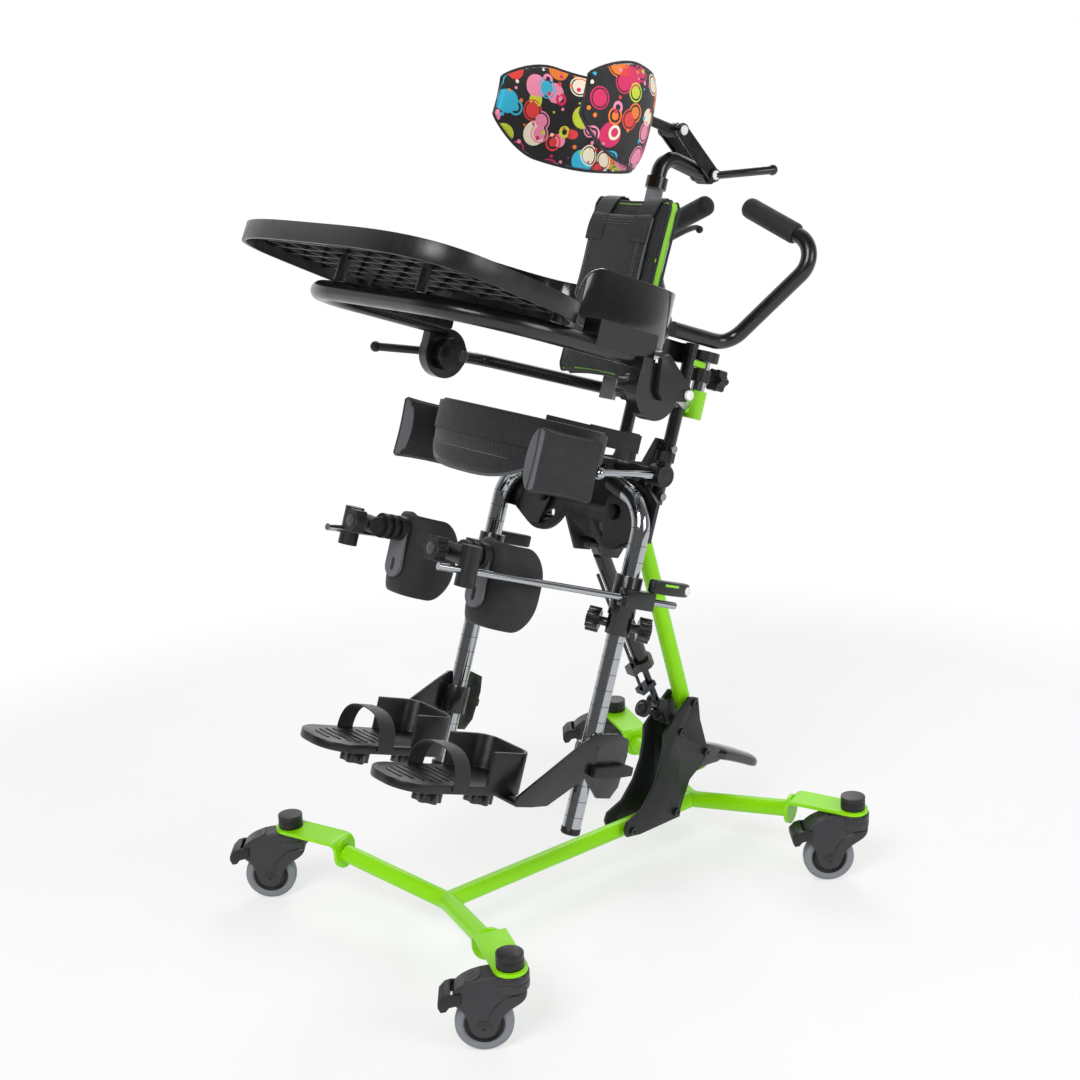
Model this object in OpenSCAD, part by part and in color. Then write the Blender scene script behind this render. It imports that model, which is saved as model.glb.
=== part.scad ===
// Paediatric tilting standing frame: four-caster base, raked mast, tilting body
// support with tray, headrest, hip, knee and foot supports, all adjustable.
// Millimetres, +Z up, the user faces -Y and the user's left side is +X.

/* [Base] */
// Distance between the left and right caster stems
track = 526; // [470:1:580]
// Distance between the front and rear caster stems
wheelbase = 640; // [590:1:700]
// Outside diameter of the base tubes and the mast
frame_tube_d = 25.4; // [22:0.1:28]
// Wall of the steel tubes
tube_wall = 2; // [1.2:0.1:3]
// Height of the spine tube's axis above the floor
spine_h = 61; // [55:1:68]
// Distance of the front tube joint ahead of the middle
apex_front = 229; // [200:1:250]
// Distance of the rear tube joint behind the middle
apex_rear = 245; // [225:1:255]
// Sideways reach of a base leg tube
splay_x = 170; // [140:1:190]
// Fore and aft reach of a base leg tube
splay_y = 285; // [270:1:300]
// Rise of a base leg tube from the spine to its end
splay_rise = 30; // [15:1:36]
// Height of the top of the caster tabs
tab_top = 113; // [110:1:120]
// Width of the caster tabs
tab_w = 44; // [38:1:50]
// Thickness of the caster tabs
tab_t = 5; // [3:0.5:7]

/* [Casters] */
// Wheel diameter
wheel_d = 75; // [70:0.5:76]
// Wheel width
wheel_w = 22; // [16:1:24]
// Distance of the axle behind the swivel axis
trail = 35; // [31:1:37]
// Direction in which the casters trail at rest
trail_turn = 231.6; // [0:0.1:360]
// Diameter of the cap over each caster stem
cap_d = 35.3; // [30:0.1:40]
// Height of that cap
cap_h = 18.6; // [12:0.1:24]

/* [Mast and tilt] */
// Tilt of the body support at rest, back from upright
rest_tilt = 19.5; // [10:0.5:30]
// Distance of the tilt axis behind the middle
pivot_y = 136; // [126:1:146]
// Height of the tilt axis
pivot_h = 569; // [545:1:610]
// Distance of the mast's foot behind the middle
mast_foot_y = 262; // [254:1:268]
// Height of the mast's foot
mast_foot_h = 113; // [104:1:124]
// Diameter of the tilt shaft
shaft_d = 16; // [12:1:20]
// Gap between the two pivot plates
plate_gap = 40; // [38:1:46]
// Thickness of the pivot plates
plate_t = 5; // [4:0.5:6]

/* [Lift spring] */
// Diameter of the spring's cylinder
spring_d = 23.6; // [20:0.2:26]
// Diameter of the spring's rod
spring_rod_d = 10; // [8:0.5:11]
// Distance of the lower spring pin behind the middle
spring_foot_y = 176; // [172:1:180]
// Height of the lower spring pin
spring_foot_h = 244; // [240:1:248]

/* [Back frame] */
// Outside diameter of the back tubes
back_tube_d = 19; // [16:0.5:20]
// Distance between the back tubes
back_tube_gap = 94; // [90:1:100]
// Top of the back tubes above the tilt axis
back_tube_top = 235.5; // [225:0.5:245]
// Outside diameter of the push handle tube
handle_tube_d = 22; // [19:0.5:24]
// Diameter of the foam grips
grip_d = 30; // [27:0.5:34]

/* [Tray] */
// Distance between the two legs of the tray tube
tray_tube_gap = 422; // [412:1:440]
// Outside diameter of the tray tube
tray_tube_d = 25.4; // [22:0.1:26]
// Height of the tray tube above the tilt axis
tray_tube_h = 182; // [178:1:188]
// Distance of the tray hinge ahead of the tilt axis
tray_hinge_v = 225; // [215:1:235]
// Height of the tray hinge above the tilt axis
tray_hinge_h = 146; // [142:1:150]
// Diameter of the tray hinge discs
tray_disc_d = 72; // [64:1:76]
// Width of the tray
tray_w = 486; // [460:1:520]
// Depth of the tray
tray_l = 290; // [270:1:310]
// Height of the tray's rim
tray_rim_h = 24; // [18:1:28]
// Slope of the tray, front edge up
tray_slope = 5.5; // [0:0.5:7]

/* [Headrest] */
// Outside width of the head pad
head_w = 210; // [190:1:230]
// Height of the head pad
head_h = 124; // [100:1:140]
// Length of the head pad from front to back
head_l = 158; // [140:1:165]
// Thickness of the head pad
head_t = 32; // [24:1:38]
// Width of the headrest post
post_w = 28; // [22:1:34]
// Thickness of the headrest post
post_t = 6; // [5:0.5:7]

/* [Legs] */
// Distance between the two leg tubes
leg_gap = 300; // [290:1:320]
// Distance of the leg tubes ahead of the tilt axis
leg_v = 118; // [116:1:122]
// Outside diameter of the leg tubes
leg_tube_d = 25.4; // [22:0.1:26]
// Lower end of the leg tubes below the tilt axis
leg_bottom = 448; // [420:1:470]
// Distance of the knee clamps below the tilt axis
knee_drop = 121; // [114:1:130]
// Diameter of the knee rods
knee_rod_d = 9.5; // [8:0.5:11]
// Distance of the foot brackets below the tilt axis
foot_drop = 345; // [335:1:352]
// Top of the footplates below the tilt axis
sole_drop = 394; // [390:1:398]
// Length of the footplates
foot_l = 205; // [190:1:220]
// Width of the footplates
foot_w = 100; // [84:1:104]
// Distance between the middles of the two footplates
foot_gap = 172; // [168:1:184]

/* [Soft supports] */
// Width of the back pad
pad_w = 152; // [130:1:200]
// Height of the back pad
pad_h = 250; // [220:1:270]
// Thickness of the back pad
pad_t = 32; // [24:1:36]
// Distance between the hip pads
hip_gap = 272; // [268:1:284]
// Length of the hip pads
hip_l = 110; // [90:1:115]
// Height of the hip pads
hip_h = 82; // [70:1:90]
// Thickness of the hip pads
hip_t = 22; // [18:1:26]
// Height of the knee pads
knee_h = 112; // [95:1:120]
// Width of the knee pads
knee_w = 98; // [90:1:100]

/* [Hidden] */
$fn = 48;
// Overrun of every cut past the face that it leaves
over = 1;
// Gap at a seat and at a running fit
seat = 0.3;
run = 0.05;
// Rounded parts of faceted skins
skin_fn = 32;

// A bend in a tube is a trace thicker than the tube and laps over the straights
bend_swell = 0.12;
bend_lap = 1.2;

// Cushion shapes
ease_share = 0.45;
channel_sharp = 9;
grid_power = 0.7;
back_crown_share = 0.113;
belt_swell_share = 0.35;
belt_section = 3;
pad_section = 2.6;
crown_share = 0.34;
draw_share = 0.05;
edge_share = 0.5;
channel_share = 0.1;
cushion_power = 6;

// Base values
tube_r = frame_tube_d / 2;
stem_x = track / 2;
stem_y = wheelbase / 2;
tab_r = tab_w / 2;
tab_bend = 14;
splay_h = spine_h + splay_rise;
apex_bend = 40;
tab_turn = atan2(stem_y - splay_y, stem_x - splay_x);
tab_reach = norm([stem_x - splay_x, stem_y - splay_y]);
stem_r = 6;
stem_engage = 8;
// Middle of the whole outline, seen from the middle of the four stems
shift_x = 21.8;
shift_y = -4.8;

// Caster values
wheel_r = wheel_d / 2;
tyre_round = 6;
core_share = 0.68;
core_recess = 3;
axle_r = 4;
hub_r = 11;
hood_t = 4.5;
hood_gap = 2.5;
hood_half = wheel_w / 2 + hood_gap / 2 + hood_t;
hood_top = tab_top - tab_t - seat;
hood_low = 24;
hood_l = 78;
hood_outline_shares = [[-0.32, 1], [0.28, 1], [0.846, 0.824], [0.936, 0.717], [0.936, 0.526], [0.795, 0.478],
    [0.667, 0.239], [0.59, 0.024], [0.308, 0.024], [0.256, 0.191], [0.103, 0.406], [-0.205, 0.573],
    [-0.32, 0.693]];
swivel_r = 24;
swivel_h = 22;
pedal_pin_d = 70;
pedal_pin_h = 80;
pedal_l = 22;
pedal_ear_t = 3;
pedal_outline_shares = [[0.26, 0.3], [0.26, -0.3], [0.5, -0.75], [0.8, -0.8], [0.95, -0.5], [0.95, -0.2],
    [0.6, 0.2]];
pedal_ear_shares = [[-0.35, 0.3], [-0.35, -0.35], [0.3, -0.5], [0.5, -0.75], [0.6, 0.2], [0.26, 0.3]];

// Pivot plate values, with the outline as shares of the plate's length and height
plate_x = plate_gap / 2;
plate_y = 84;
plate_z = 54;
plate_l = 175;
plate_h = 192;
plate_outline_shares = [[0.845, 0.985], [0.885, 0.97], [0.905, 0.78], [1, 0.48], [0.97, 0.417],
    [0.77, 0.297],
    [0.686, 0.146], [0.646, 0.052], [0.64, 0.01], [0.166, 0], [0.017, 0.021], [0, 0.08], [0.03, 0.14],
    [0.2, 0.2], [0.34, 0.34], [0.43, 0.5], [0.47, 0.66], [0.48, 0.766], [0.64, 0.896], [0.783, 1]];
plate_bolt_shares = [[0.834, 0.94], [0.971, 0.479], [0.6, 0.063], [0.08, 0.057], [0.674, 0.734]];
bolt_r = 3.5;
bolt_head_r = 5.5;
bolt_head_h = 3;
spacer_r = 6;

// Mast and tilt axis values
barrel_r = 16;
barrel_half = 28;
shaft_r = shaft_d / 2;
mast_top = [0, pivot_y, pivot_h];
mast_foot = [0, mast_foot_y, mast_foot_h];

// Foot pedal values
tread_y = plate_y + plate_bolt_shares[1].x * plate_l;
tread_z = plate_z + plate_bolt_shares[1].y * plate_h;
tread_l = 130;
tread_h = 80;
tread_half = plate_x - seat;
tread_ear_t = 5;
tread_outline_shares = [[0.2, -0.06], [0.6, -0.25], [0.9, -0.6], [0.99, -0.78], [0.97, -0.92], [0.86, -0.9],
    [0.58, -0.6], [0.36, -0.6], [0.2, -0.55]];
tread_ear_shares = [[-0.06, 0.09], [0.07, 0.11], [0.28, -0.08], [0.28, -0.56], [0.18, -0.56], [0.05, -0.38],
    [-0.06, -0.09]];
tread_pin_r = 4;

// Lift spring values
spring_foot = [0, spring_foot_y, spring_foot_h];
spring_eye_v = -47;
spring_eye_w = -72.5;
spring_eye = [0, pivot_y + spring_eye_v * cos(rest_tilt) + spring_eye_w * sin(rest_tilt),
    pivot_h - spring_eye_v * sin(rest_tilt) + spring_eye_w * cos(rest_tilt)];
spring_l = norm(spring_eye - spring_foot);
spring_r = spring_d / 2;
spring_rod_r = spring_rod_d / 2;
spring_pin_r = 4;
spring_eye_r = 8;
spring_eye_half = 8.2;
spring_eye_neck = 14;
collar_s = 72;
collar_h = 14;
collar_r = 17;
spring_rod_top = 200;
spring_bore_top = 262;
release_r = 2.5;
release_off = 18;
release_l = 220;
release_foot_s = 33;
release_block_h = 9;
lug_gap = 8.6;
lug_t = 6;
lug_r = 9;
lug_neck = 11.5;
lug_neck_t = 4.6;
cross_r = 7;
cross_y = 195;
cross_z = 210;
plunger_r = 4;
plunger_sleeve_r = 8;
plunger_in = 18;
plunger_sleeve_l = 24;
plunger_l = 62;
plunger_knob_r = 13;
plunger_knob_h = 8;
plunger_turn = 56;

// Hub values, in the tilting frame: x across, v back, w up
cheek_x = barrel_half + seat;
cheek_t = 5;
front_v = -94;
front_t = 6;
cheek_outline_shares = [[0.13, 1], [-0.13, 1], [-0.3, 0.6], [-1, 0.54], [-1, -0.4], [-0.66, -0.9],
    [-0.36, -0.88], [-0.08, -0.24], [0.14, -0.15], [0.17, 0.08]];
cheek_l = 94;
cheek_h = 95;
hub_pin_x = 76;
hub_pin_w = -18;
hub_pin_r = 6;
hub_head_r = 11;
hub_head_h = 5;
hub_plate_r = 52;
hub_bar_h = 62;
hub_bar_w = 44;
slot_r = 33;
slot_half = 6.5;
slot_from = 226;
slot_to = 322;
slot_pieces = 12;
spring_boss_r = 8;
spring_boss_gap = 9;

// Back frame values
back_x = back_tube_gap / 2;
back_r = back_tube_d / 2;
back_low = 3;
back_bolt_ws = [15, 84];
arm_x = 205;
arm_r = 9;
arm_v = -12;
arm_in_x = 70;
arm_out_v = -165;
arm_h = tray_hinge_h + 4;
arm_bend = 34;
arm_disc_r = 24;
arm_disc_t = 18;
carrier_half = 30;
carrier_back = 6;
carrier_front = -101.7;
carrier_low = 206;
carrier_top = 234;
hip_bar_v = -75;
hip_bar_w = 45;
hip_bar_half = 130;
hip_bar_r = 8;
spacer_gap = back_x - back_r - cheek_x - cheek_t;

// Push handle path, mirrored for the right side
handle_r = handle_tube_d / 2;
handle_bend = 34;
handle_w = back_tube_top + seat + handle_r;
handle_path = [[back_x, -46, handle_w], [62, 54, handle_w], [180, 76, 396], [44, 52, 444]];
grip_r = grip_d / 2;
grip_l = 98;
grip_end = 6;
lever_clamp_s = 42;
lever_clamp_half = 7;
lever_clamp_r = 15;
lever_lug_r = 6;
tilt_lever_drop = 32;
tilt_lever_lean = 10;
tilt_lever_l = 112;
tilt_lever_r = 5;
tilt_lever_ball_r = 7;
tilt_lever_eye_r = 9;

// Sleeve and locking post behind the left back tube
sleeve_r = 14.5;
sleeve_low = 133;
sleeve_top = 173;
post_r = 10;
post_top = 216;
post_knob_r = 20;
sleeve_v = back_r + post_knob_r + seat;
sleeve_lug_w = 12;
sleeve_lug_inset = 6;
post_knob_h = 14;
post_collar_r = 14;
post_collar_low = 186;
post_collar_h = 18;
post_star_r = 17;
post_star_h = 16;
post_star_stem = 12;

// Shell values
shell_half = 141;
shell_back = -102;
shell_front = -305;
shell_t = 5;
shell_low = 206;
shell_top = 284;
shell_power = 5;
shell_steps = 24;

// Tray values
tray_r = tray_tube_d / 2;
tray_leg_x = tray_tube_gap / 2;
tray_leg_back = -238;
tray_leg_front = -508;
tray_bend = 118;
tray_rear_v = -330;
tray_rise = 13.2;
tray_rear_w = tray_tube_h + tray_rise;
tray_neck_l = 22;
tray_neck_in = 2;
tray_skin = 4;
tray_rim_t = 5;
tray_rib_t = 2.5;
tray_rib_h = 8;
tray_ribs = 9;
tray_power = 3.6;
tray_steps = 72;
tray_cut_r = 150;
tray_cut_depth = 60;
tray_boss_r = 7;
tray_boss_gap = 1;
tray_boss_shares = [[0.37, 0.607], [0.85, 0.2]];
tray_knob_r = 17;
tray_knob_l = 24;
block_half = 15;
block_l = 98;
block_h = 19;
disc_x = arm_x + arm_disc_t / 2 + seat;
disc_t = 18;
lever_t = 8;
lever_l = 62;
lever_h = 58;
lever_outline_shares = [[-0.2, 0.7], [-0.02, 0.84], [0.74, 0.28], [0.84, 0.08], [0.7, -0.06], [0.06, -0.16],
    [-0.1, 0]];
lever_tip_shares = [0.7, 0.1];
lever_tip_r = 6;
lever_tip_h = 5;
rod_lever_r = 6;
rod_lever_ball_r = 8;
rod_lever_hub_r = 13;
rod_lever_hub_h = 14;
rod_lever_end = [-302, -288, 134];

// Headrest values
head_low = 428;
head_front = -328;
head_power = 3.4;
head_steps = 26;
head_ring = 14;
post_v = -94;
post_low = 132;
post_high = 446;
arm_pin_v = -7;
arm_pin_w = 474;
neck_r = 11;
neck_bend = 24;
neck_foot_r = 15;
neck_foot_h = 16;
neck_path = [[0, post_v, post_high - neck_foot_h / 2], [0, post_v, 478], [0, arm_pin_v, arm_pin_w]];
head_pin_v = -86;
head_pin_w = 515;
head_barrel_r = 13;
head_eye_r = 10;
head_link_gap = 11;
head_link_t = 5;
head_link_h = 18;
link_waist_share = 0.8;
head_pin_r = 5;
head_bolt_r = 9;
head_bolt_h = 6;
head_lever_end = [20, 104, 513];
head_lever_r = 6;
head_lever_ball_r = 8;
head_stem_r = 7;
head_plate_w = 64;
head_plate_h = 46;
head_plate_t = 4;

// Leg values, drawn for the left side and mirrored
leg_x = leg_gap / 2;
leg_r = leg_tube_d / 2;
leg_bend = 54;
leg_bend_w = 1;
leg_end_x = 76;
leg_end_w = 22;
leg_plate_t = 6;
leg_plate_v = front_v - front_t - seat;
leg_plate_l = 84;
leg_plate_h = 62;
leg_plate_shares = [[-0.16, 0.3], [0.5, 0.86], [0.96, 0.42], [0.96, -0.46], [0.62, -0.46], [0.2, -0.74],
    [-0.06, -0.7], [-0.22, -0.1]];
lock_turn = 285;
lock_pin_r = 5;
lock_knob_r = 15;
lock_knob_h = 13;
leg_solid = 66;

// Knee clamp values
clamp_r = 18.5;
clamp_h = 54;
knee_yaw = 8.5;
knee_rod_x = leg_x + leg_r + 9.5;
knee_block = 20;
knee_block_h = 24;
knee_rod_back = 64;
knee_rod_front = 304;
star_r = 17;
star_h = 17;
star_stem_r = 6;
star_stem = 9;
star_lobes = 6;
star_core_share = 0.8;
star_lobe_share = 0.27;
knee_lever_v = -92;
knee_lever_l = 62;
knee_lever_h = 18;
knee_lever_t = 9;
knee_lever_shares = [[-0.12, 0.4], [0.2, 0.5], [0.8, 0.75], [1, 0.6], [1, -0.1], [0.3, -0.5], [-0.12, -0.4]];
knee_lever_out = 28;
knee_lever_x = leg_x + knee_lever_out;
collar_low_h = 26;
collar_low_r = 16.5;
knob_out = 26;
knob_turns = [218, 52];
knee_block_l = 46;
carriage_s = 262;
carriage_r = 13;
carriage_h = 52;
carriage_drop = 20;
carriage_arm_r = 11.5;
carriage_arm_out = 17;
carriage_arm_rise = 17;
knee_x = 92;
knee_star_stem = 3;
carriage_x = knee_rod_x - carriage_s * sin(knee_yaw);
carriage_v = -leg_v - carriage_s * cos(knee_yaw);
bellows_r = 17;
bellows_neck_r = 12;
bellows_l = 39;
bellows_rings = 3;
knee_cup_w = -137;
knee_cup_l = 66;
knee_cup_t = 16;
knee_power = 2.6;
knee_steps = 20;
knee_ring = 12;
oval_w = 34;
oval_h = 84;
oval_t = 5;
oval_slot_w = 7;
oval_slot_h = 18;
oval_slot_off = 24;
oval_rise = 8;

// Foot values
bracket_r = 18;
bracket_h = 40;
bracket_t = 4;
bracket_x = leg_x + leg_r + seat;
bracket_l = 178;
bracket_shares = [[1, 0.28], [0.98, 0.06], [0.86, 0], [0.62, 0.02], [0.5, 0.18], [0, 0.88], [0, 1],
    [0.16, 1],
    [0.3, 0.98], [0.62, 0.6], [0.78, 0.86], [0.92, 0.86], [0.98, 0.7]];
bracket_front = -240;
bracket_top = -306;
flange_t = 4;
sole_t = 12;
flange_top = -sole_drop - sole_t - seat;
bracket_drop = bracket_top - flange_top + flange_t - seat;
foot_x = foot_gap / 2;
toe_v = -403;
heel_h = 46;
heel_t = 5;
heel_share = 0.34;
toe_round = 42;
foot_pin_r = 6;
foot_pin_v = -276;
foot_knob_r = 20;
foot_knob_h = 15;
foot_knob_vs = [-322, -236];
foot_knob_gap = 4;
foot_lever_w = -358;
foot_lever_l = 62;
foot_lever_t = 10;
foot_lever_h = 17;
foot_pin_depth = 9;
heel_round = 26;
flange_v = -330;
flange_l = 116;
flange_x = 60;
flange_w = 54;
flange_arm_v = -240;
flange_arm_l = 28;
foot_stem_r = 7;
strap_v = -312;
strap_w = 26;
strap_t = 2.5;
strap_rise = 50;
strap_half = foot_w / 2 + strap_t + seat;
strap_steps = 20;
strap_power = 2.6;
strap_drop = 8;

// Hip values
hip_x = hip_gap / 2;
hip_v = -326;
hip_low = -10;
hip_rod_r = 5;
hip_rod_x = 118;
hip_block_r = 15;
hip_block_half = 12;
hip_ball_r = 8;
hip_ball = [hip_x + hip_t / 2, hip_v + hip_l * (1 - draw_share / 2) + hip_ball_r + seat,
    hip_low + hip_h / 2];
hip_knob_r = 15;
hip_knob_h = 14;
hip_knob_w = 19;
hip_stem_r = 6;

// Back pad, vest and belt values
pad_low = 158;
pad_gap = 0.7;
belt_half = 126;
belt_back = -150;
belt_front = -318;
belt_low = 22;
belt_h = 62;
belt_t = 9;
belt_steps = 36;
belt_ring = 10;
belt_power = 2.4;
belt_strap_t = 3;
belt_strap_h = 26;
belt_strap_w = 92;
vest_w = 122;
vest_h = 120;
vest_t = 9;
vest_low = 262;
vest_strap_w = 34;
vest_strap_t = 6;
vest_strap_x = 44;
vest_strap_share = 0.9;
vest_gap = 0.3;

// Colours
green = "#8fe000";
black = "#1c1c1f";
grey = "#4a4b50";
chrome = "#c9ccd1";
cloth = "#2b2b30";
white = "#e8e8e6";

// Vector helpers
function unit(a) = a / norm(a);
function signed_power(a, p) = sign(a) * pow(abs(a), p);
function scaled(shares, a, b) = [for (s = shares) [s.x * a, s.y * b]];

// Half of a superellipse, from the right tip round the far side to the left tip
function round_half(t, a, b, p) =
    [a * signed_power(cos(180 * t), 2 / p), b * pow(max(sin(180 * t), 0), 2 / p)];
// A whole superellipse
function round_whole(n, a, b, p) =
    [for (i = [0 : n - 1]) let (q = 360 * i / n)
        [a * signed_power(cos(q), 2 / p), b * signed_power(sin(q), 2 / p)]];

// Mean of a list of points
function middle(points) = [for (p = points) 1] * points / len(points);

// Places its children with +Z along the line from a to b
module along(a, b) {
    d = b - a;
    translate(a) rotate([0, acos(d.z / norm(d)), atan2(d.y, d.x)]) children();
}

module rod(a, b, r) {
    along(a, b) cylinder(h = norm(b - a), r = r);
}

module tube(a, b, r, wall) {
    difference() {
        rod(a, b, r);
        rod(a - over * unit(b - a), b + over * unit(b - a), r - wall);
    }
}

// One bend of a tube at corner p, turning from direction u to direction w
module tube_bend(p, u, w, bend, r) {
    turn = acos(u * w);
    n = unit(w - u * (u * w));
    x = -n;
    z = cross(x, u);
    c = p - u * bend * tan(turn / 2) + n * bend;
    lap = atan(bend_lap / bend);
    multmatrix([[x.x, u.x, z.x, c.x], [x.y, u.y, z.y, c.y], [x.z, u.z, z.z, c.z], [0, 0, 0, 1]])
        rotate(-lap) rotate_extrude(angle = turn + 2 * lap) translate([bend, 0]) circle(r = r + bend_swell);
}

// A rod along a path with round bends
module bent_rod(path, bend, r) {
    last = len(path) - 1;
    dirs = [for (i = [0 : last - 1]) unit(path[i + 1] - path[i])];
    cuts = [for (i = [0 : last]) (i == 0 || i == last) ? 0 : bend * tan(acos(dirs[i - 1] * dirs[i]) / 2)];
    for (i = [0 : last - 1]) rod(path[i] + dirs[i] * cuts[i], path[i + 1] - dirs[i] * cuts[i + 1], r);
    for (i = [1 : last - 1]) tube_bend(path[i], dirs[i - 1], dirs[i], bend, r);
}

// A closed skin over a list of rings, with a fan of triangles at each end
module skin(rings) {
    n = len(rings[0]);
    m = len(rings);
    points = concat([for (r = rings) each r], [middle(rings[0]), middle(rings[m - 1])]);
    sides = [for (i = [0 : m - 2], j = [0 : n - 1]) let (a = i * n + j, b = i * n + (j + 1) % n)
        each [[a, b, b + n], [a, b + n, a + n]]];
    ends = [for (j = [0 : n - 1]) each [[m * n, (j + 1) % n, j],
        [m * n + 1, (m - 1) * n + j, (m - 1) * n + (j + 1) % n]]];
    polyhedron(points, concat(sides, ends), convexity = 10);
}

// A skin over rings that close on themselves
module loop_skin(rings) {
    n = len(rings[0]);
    m = len(rings);
    points = [for (r = rings) each r];
    sides = [for (i = [0 : m - 1], j = [0 : n - 1])
        let (a = i * n + j, b = i * n + (j + 1) % n, c = ((i + 1) % m) * n + j,
            d = ((i + 1) % m) * n + (j + 1) % n)
        each [[a, b, d], [a, d, c]]];
    polyhedron(points, sides, convexity = 10);
}

// Round-ended profile of a padded strip: t through it and h across it
function pad_ring(n, t, h, p) = round_whole(n, t / 2, h / 2, p);

// Rings of a padded strip bent to a U, with rounded ends
function bent_pad(a, b, t, h, p, steps, ring, section) =
    [for (i = [0 : steps]) let (
        q = i / steps,
        here = round_half(q, a, b, p),
        step = 0.5 / steps,
        to = round_half(min(q + step, 1), a, b, p) - round_half(max(q - step, 0), a, b, p),
        out = unit([to.y, -to.x]),
        tip = min(i, steps - i) / 2,
        ease = tip >= 1 ? 1 : ease_share + (1 - ease_share) * sqrt(max(1 - (1 - tip) * (1 - tip), 0)))
        [for (s = pad_ring(ring, t * ease, h * ease, section))
            [here.x + out.x * s.x, here.y + out.y * s.x, s.y]]];

// Grid station from -1 to 1, closer together towards the rim
function grid_at(k, n) = signed_power(2 * k / n - 1, grid_power);
function dome(u, v) = pow((1 - pow(abs(u), cushion_power)) * (1 - pow(abs(v), cushion_power)), 0.5);
function channel_dip(v, channels) = channels == 0 ? 0
    : channel_share * max([for (k = [1 : channels])
        exp(-pow((v + 1 - 2 * k / (channels + 1)) * channel_sharp, 2))]);
function cushion_face(w, h, t, channels, n, out) =
    [for (j = [0 : n], i = [0 : n]) let (
        u = grid_at(i, n),
        v = grid_at(j, n),
        rise = out < 0 ? crown_share - channel_dip(v, channels) : back_crown_share)
        [u * w / 2 * (1 - draw_share * (1 - v * v)),
            out * t * (edge_share / 2 + rise * dome(u, v)),
            v * h / 2 * (1 - draw_share * (1 - u * u))]];

// Cushion standing in the x-w plane: crowned front, sides drawn in, sewn channels across it
module cushion(w, h, t, channels) {
    n = 16;
    row = n + 1;
    count = row * row;
    rim = concat([for (i = [0 : n - 1]) i], [for (j = [0 : n - 1]) j * row + n],
        [for (i = [0 : n - 1]) n * row + n - i], [for (j = [0 : n - 1]) (n - j) * row]);
    quads = [for (j = [0 : n - 1], i = [0 : n - 1]) j * row + i];
    faces = concat([for (q = quads) each [[q, q + row, q + row + 1], [q, q + row + 1, q + 1]]],
        [for (q = quads) each [[count + q, count + q + row + 1, count + q + row],
            [count + q, count + q + 1, count + q + row + 1]]],
        [for (k = [0 : len(rim) - 1]) let (a = rim[k], b = rim[(k + 1) % len(rim)])
            each [[a, b, count + b], [a, count + b, count + a]]]);
    polyhedron(concat(cushion_face(w, h, t, channels, n, -1), cushion_face(w, h, t, channels, n, 1)), faces,
        convexity = 6);
}

// Knob with round lobes, along +Z
module star_knob(r, h) {
    linear_extrude(h) {
        circle(r = r * star_core_share);
        for (i = [0 : star_lobes - 1]) rotate(i * 360 / star_lobes) translate([r * (1 - star_lobe_share), 0])
            circle(r = r * star_lobe_share);
    }
}

// Frames: the base's own middle, and the tilting frame
module base() {
    translate([shift_x, shift_y, 0]) children();
}

module tilted() {
    base() translate([0, pivot_y, pivot_h]) rotate([-rest_tilt, 0, 0]) children();
}

// Left and right: the left side as drawn, the right side mirrored
module side(s) {
    mirror([s < 0 ? 1 : 0, 0, 0]) children();
}

module both() {
    side(1) children();
    side(-1) children();
}

module caster_at(sx, sy) {
    base() translate([sx * stem_x, sy * stem_y, 0]) rotate(trail_turn) children();
}

// Extrudes an outline drawn in the y-z plane along x, from x = from to x = to
module slab_x(from, to) {
    translate([from, 0, 0]) rotate([90, 0, 90]) linear_extrude(to - from) children();
}

// Extrudes an outline drawn in the x-z plane along y
module slab_y(from, to) {
    translate([0, to, 0]) rotate([90, 0, 0]) linear_extrude(to - from) children();
}

// Base
module tab_profile() {
    translate([tab_bend, tab_top - tab_t]) square([tab_reach - tab_bend, tab_t]);
    translate([0, splay_h]) square([tab_t, tab_top - tab_bend - splay_h]);
    translate([tab_bend, tab_top - tab_bend]) intersection() {
        difference() {
            circle(r = tab_bend);
            circle(r = tab_bend - tab_t);
        }
        translate([-tab_bend, 0]) square(tab_bend);
    }
}

module caster_tab() {
    translate([splay_x, splay_y, 0]) rotate(tab_turn) difference() {
        union() {
            rotate([90, 0, 0]) linear_extrude(tab_w, center = true) tab_profile();
            translate([tab_reach, 0, tab_top - tab_t]) cylinder(h = tab_t, r = tab_r);
            translate([0, 0, splay_h]) rotate([0, 90, 0]) cylinder(h = tab_t, r = tab_r);
        }
        translate([tab_reach, 0, tab_top - tab_t - over]) cylinder(h = tab_t + 2 * over, r = stem_r + run);
    }
}

// Two base legs as one bent tube, from end y through the spine's end
module leg_pair(y, apex) {
    bent_rod([[-splay_x, y, splay_h], [0, apex, spine_h], [splay_x, y, splay_h]], apex_bend, tube_r);
}

module base_frame() {
    color(green) base() {
        rod([0, -apex_front, spine_h], [0, apex_rear, spine_h], tube_r);
        leg_pair(-splay_y, -apex_front);
        leg_pair(splay_y, apex_rear);
        for (sx = [-1, 1], sy = [-1, 1]) mirror([sx < 0 ? 1 : 0, 0, 0]) mirror([0, sy < 0 ? 1 : 0, 0])
            caster_tab();
    }
}

module plate_outline() {
    translate([plate_y, plate_z]) polygon(scaled(plate_outline_shares, plate_l, plate_h));
}

function plate_bolt(s) = [plate_y + s.x * plate_l, plate_z + s.y * plate_h];
function plunger_dir() = [0, -sin(plunger_turn), cos(plunger_turn)];
function cross_mid() = [0, cross_y, cross_z];

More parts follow.
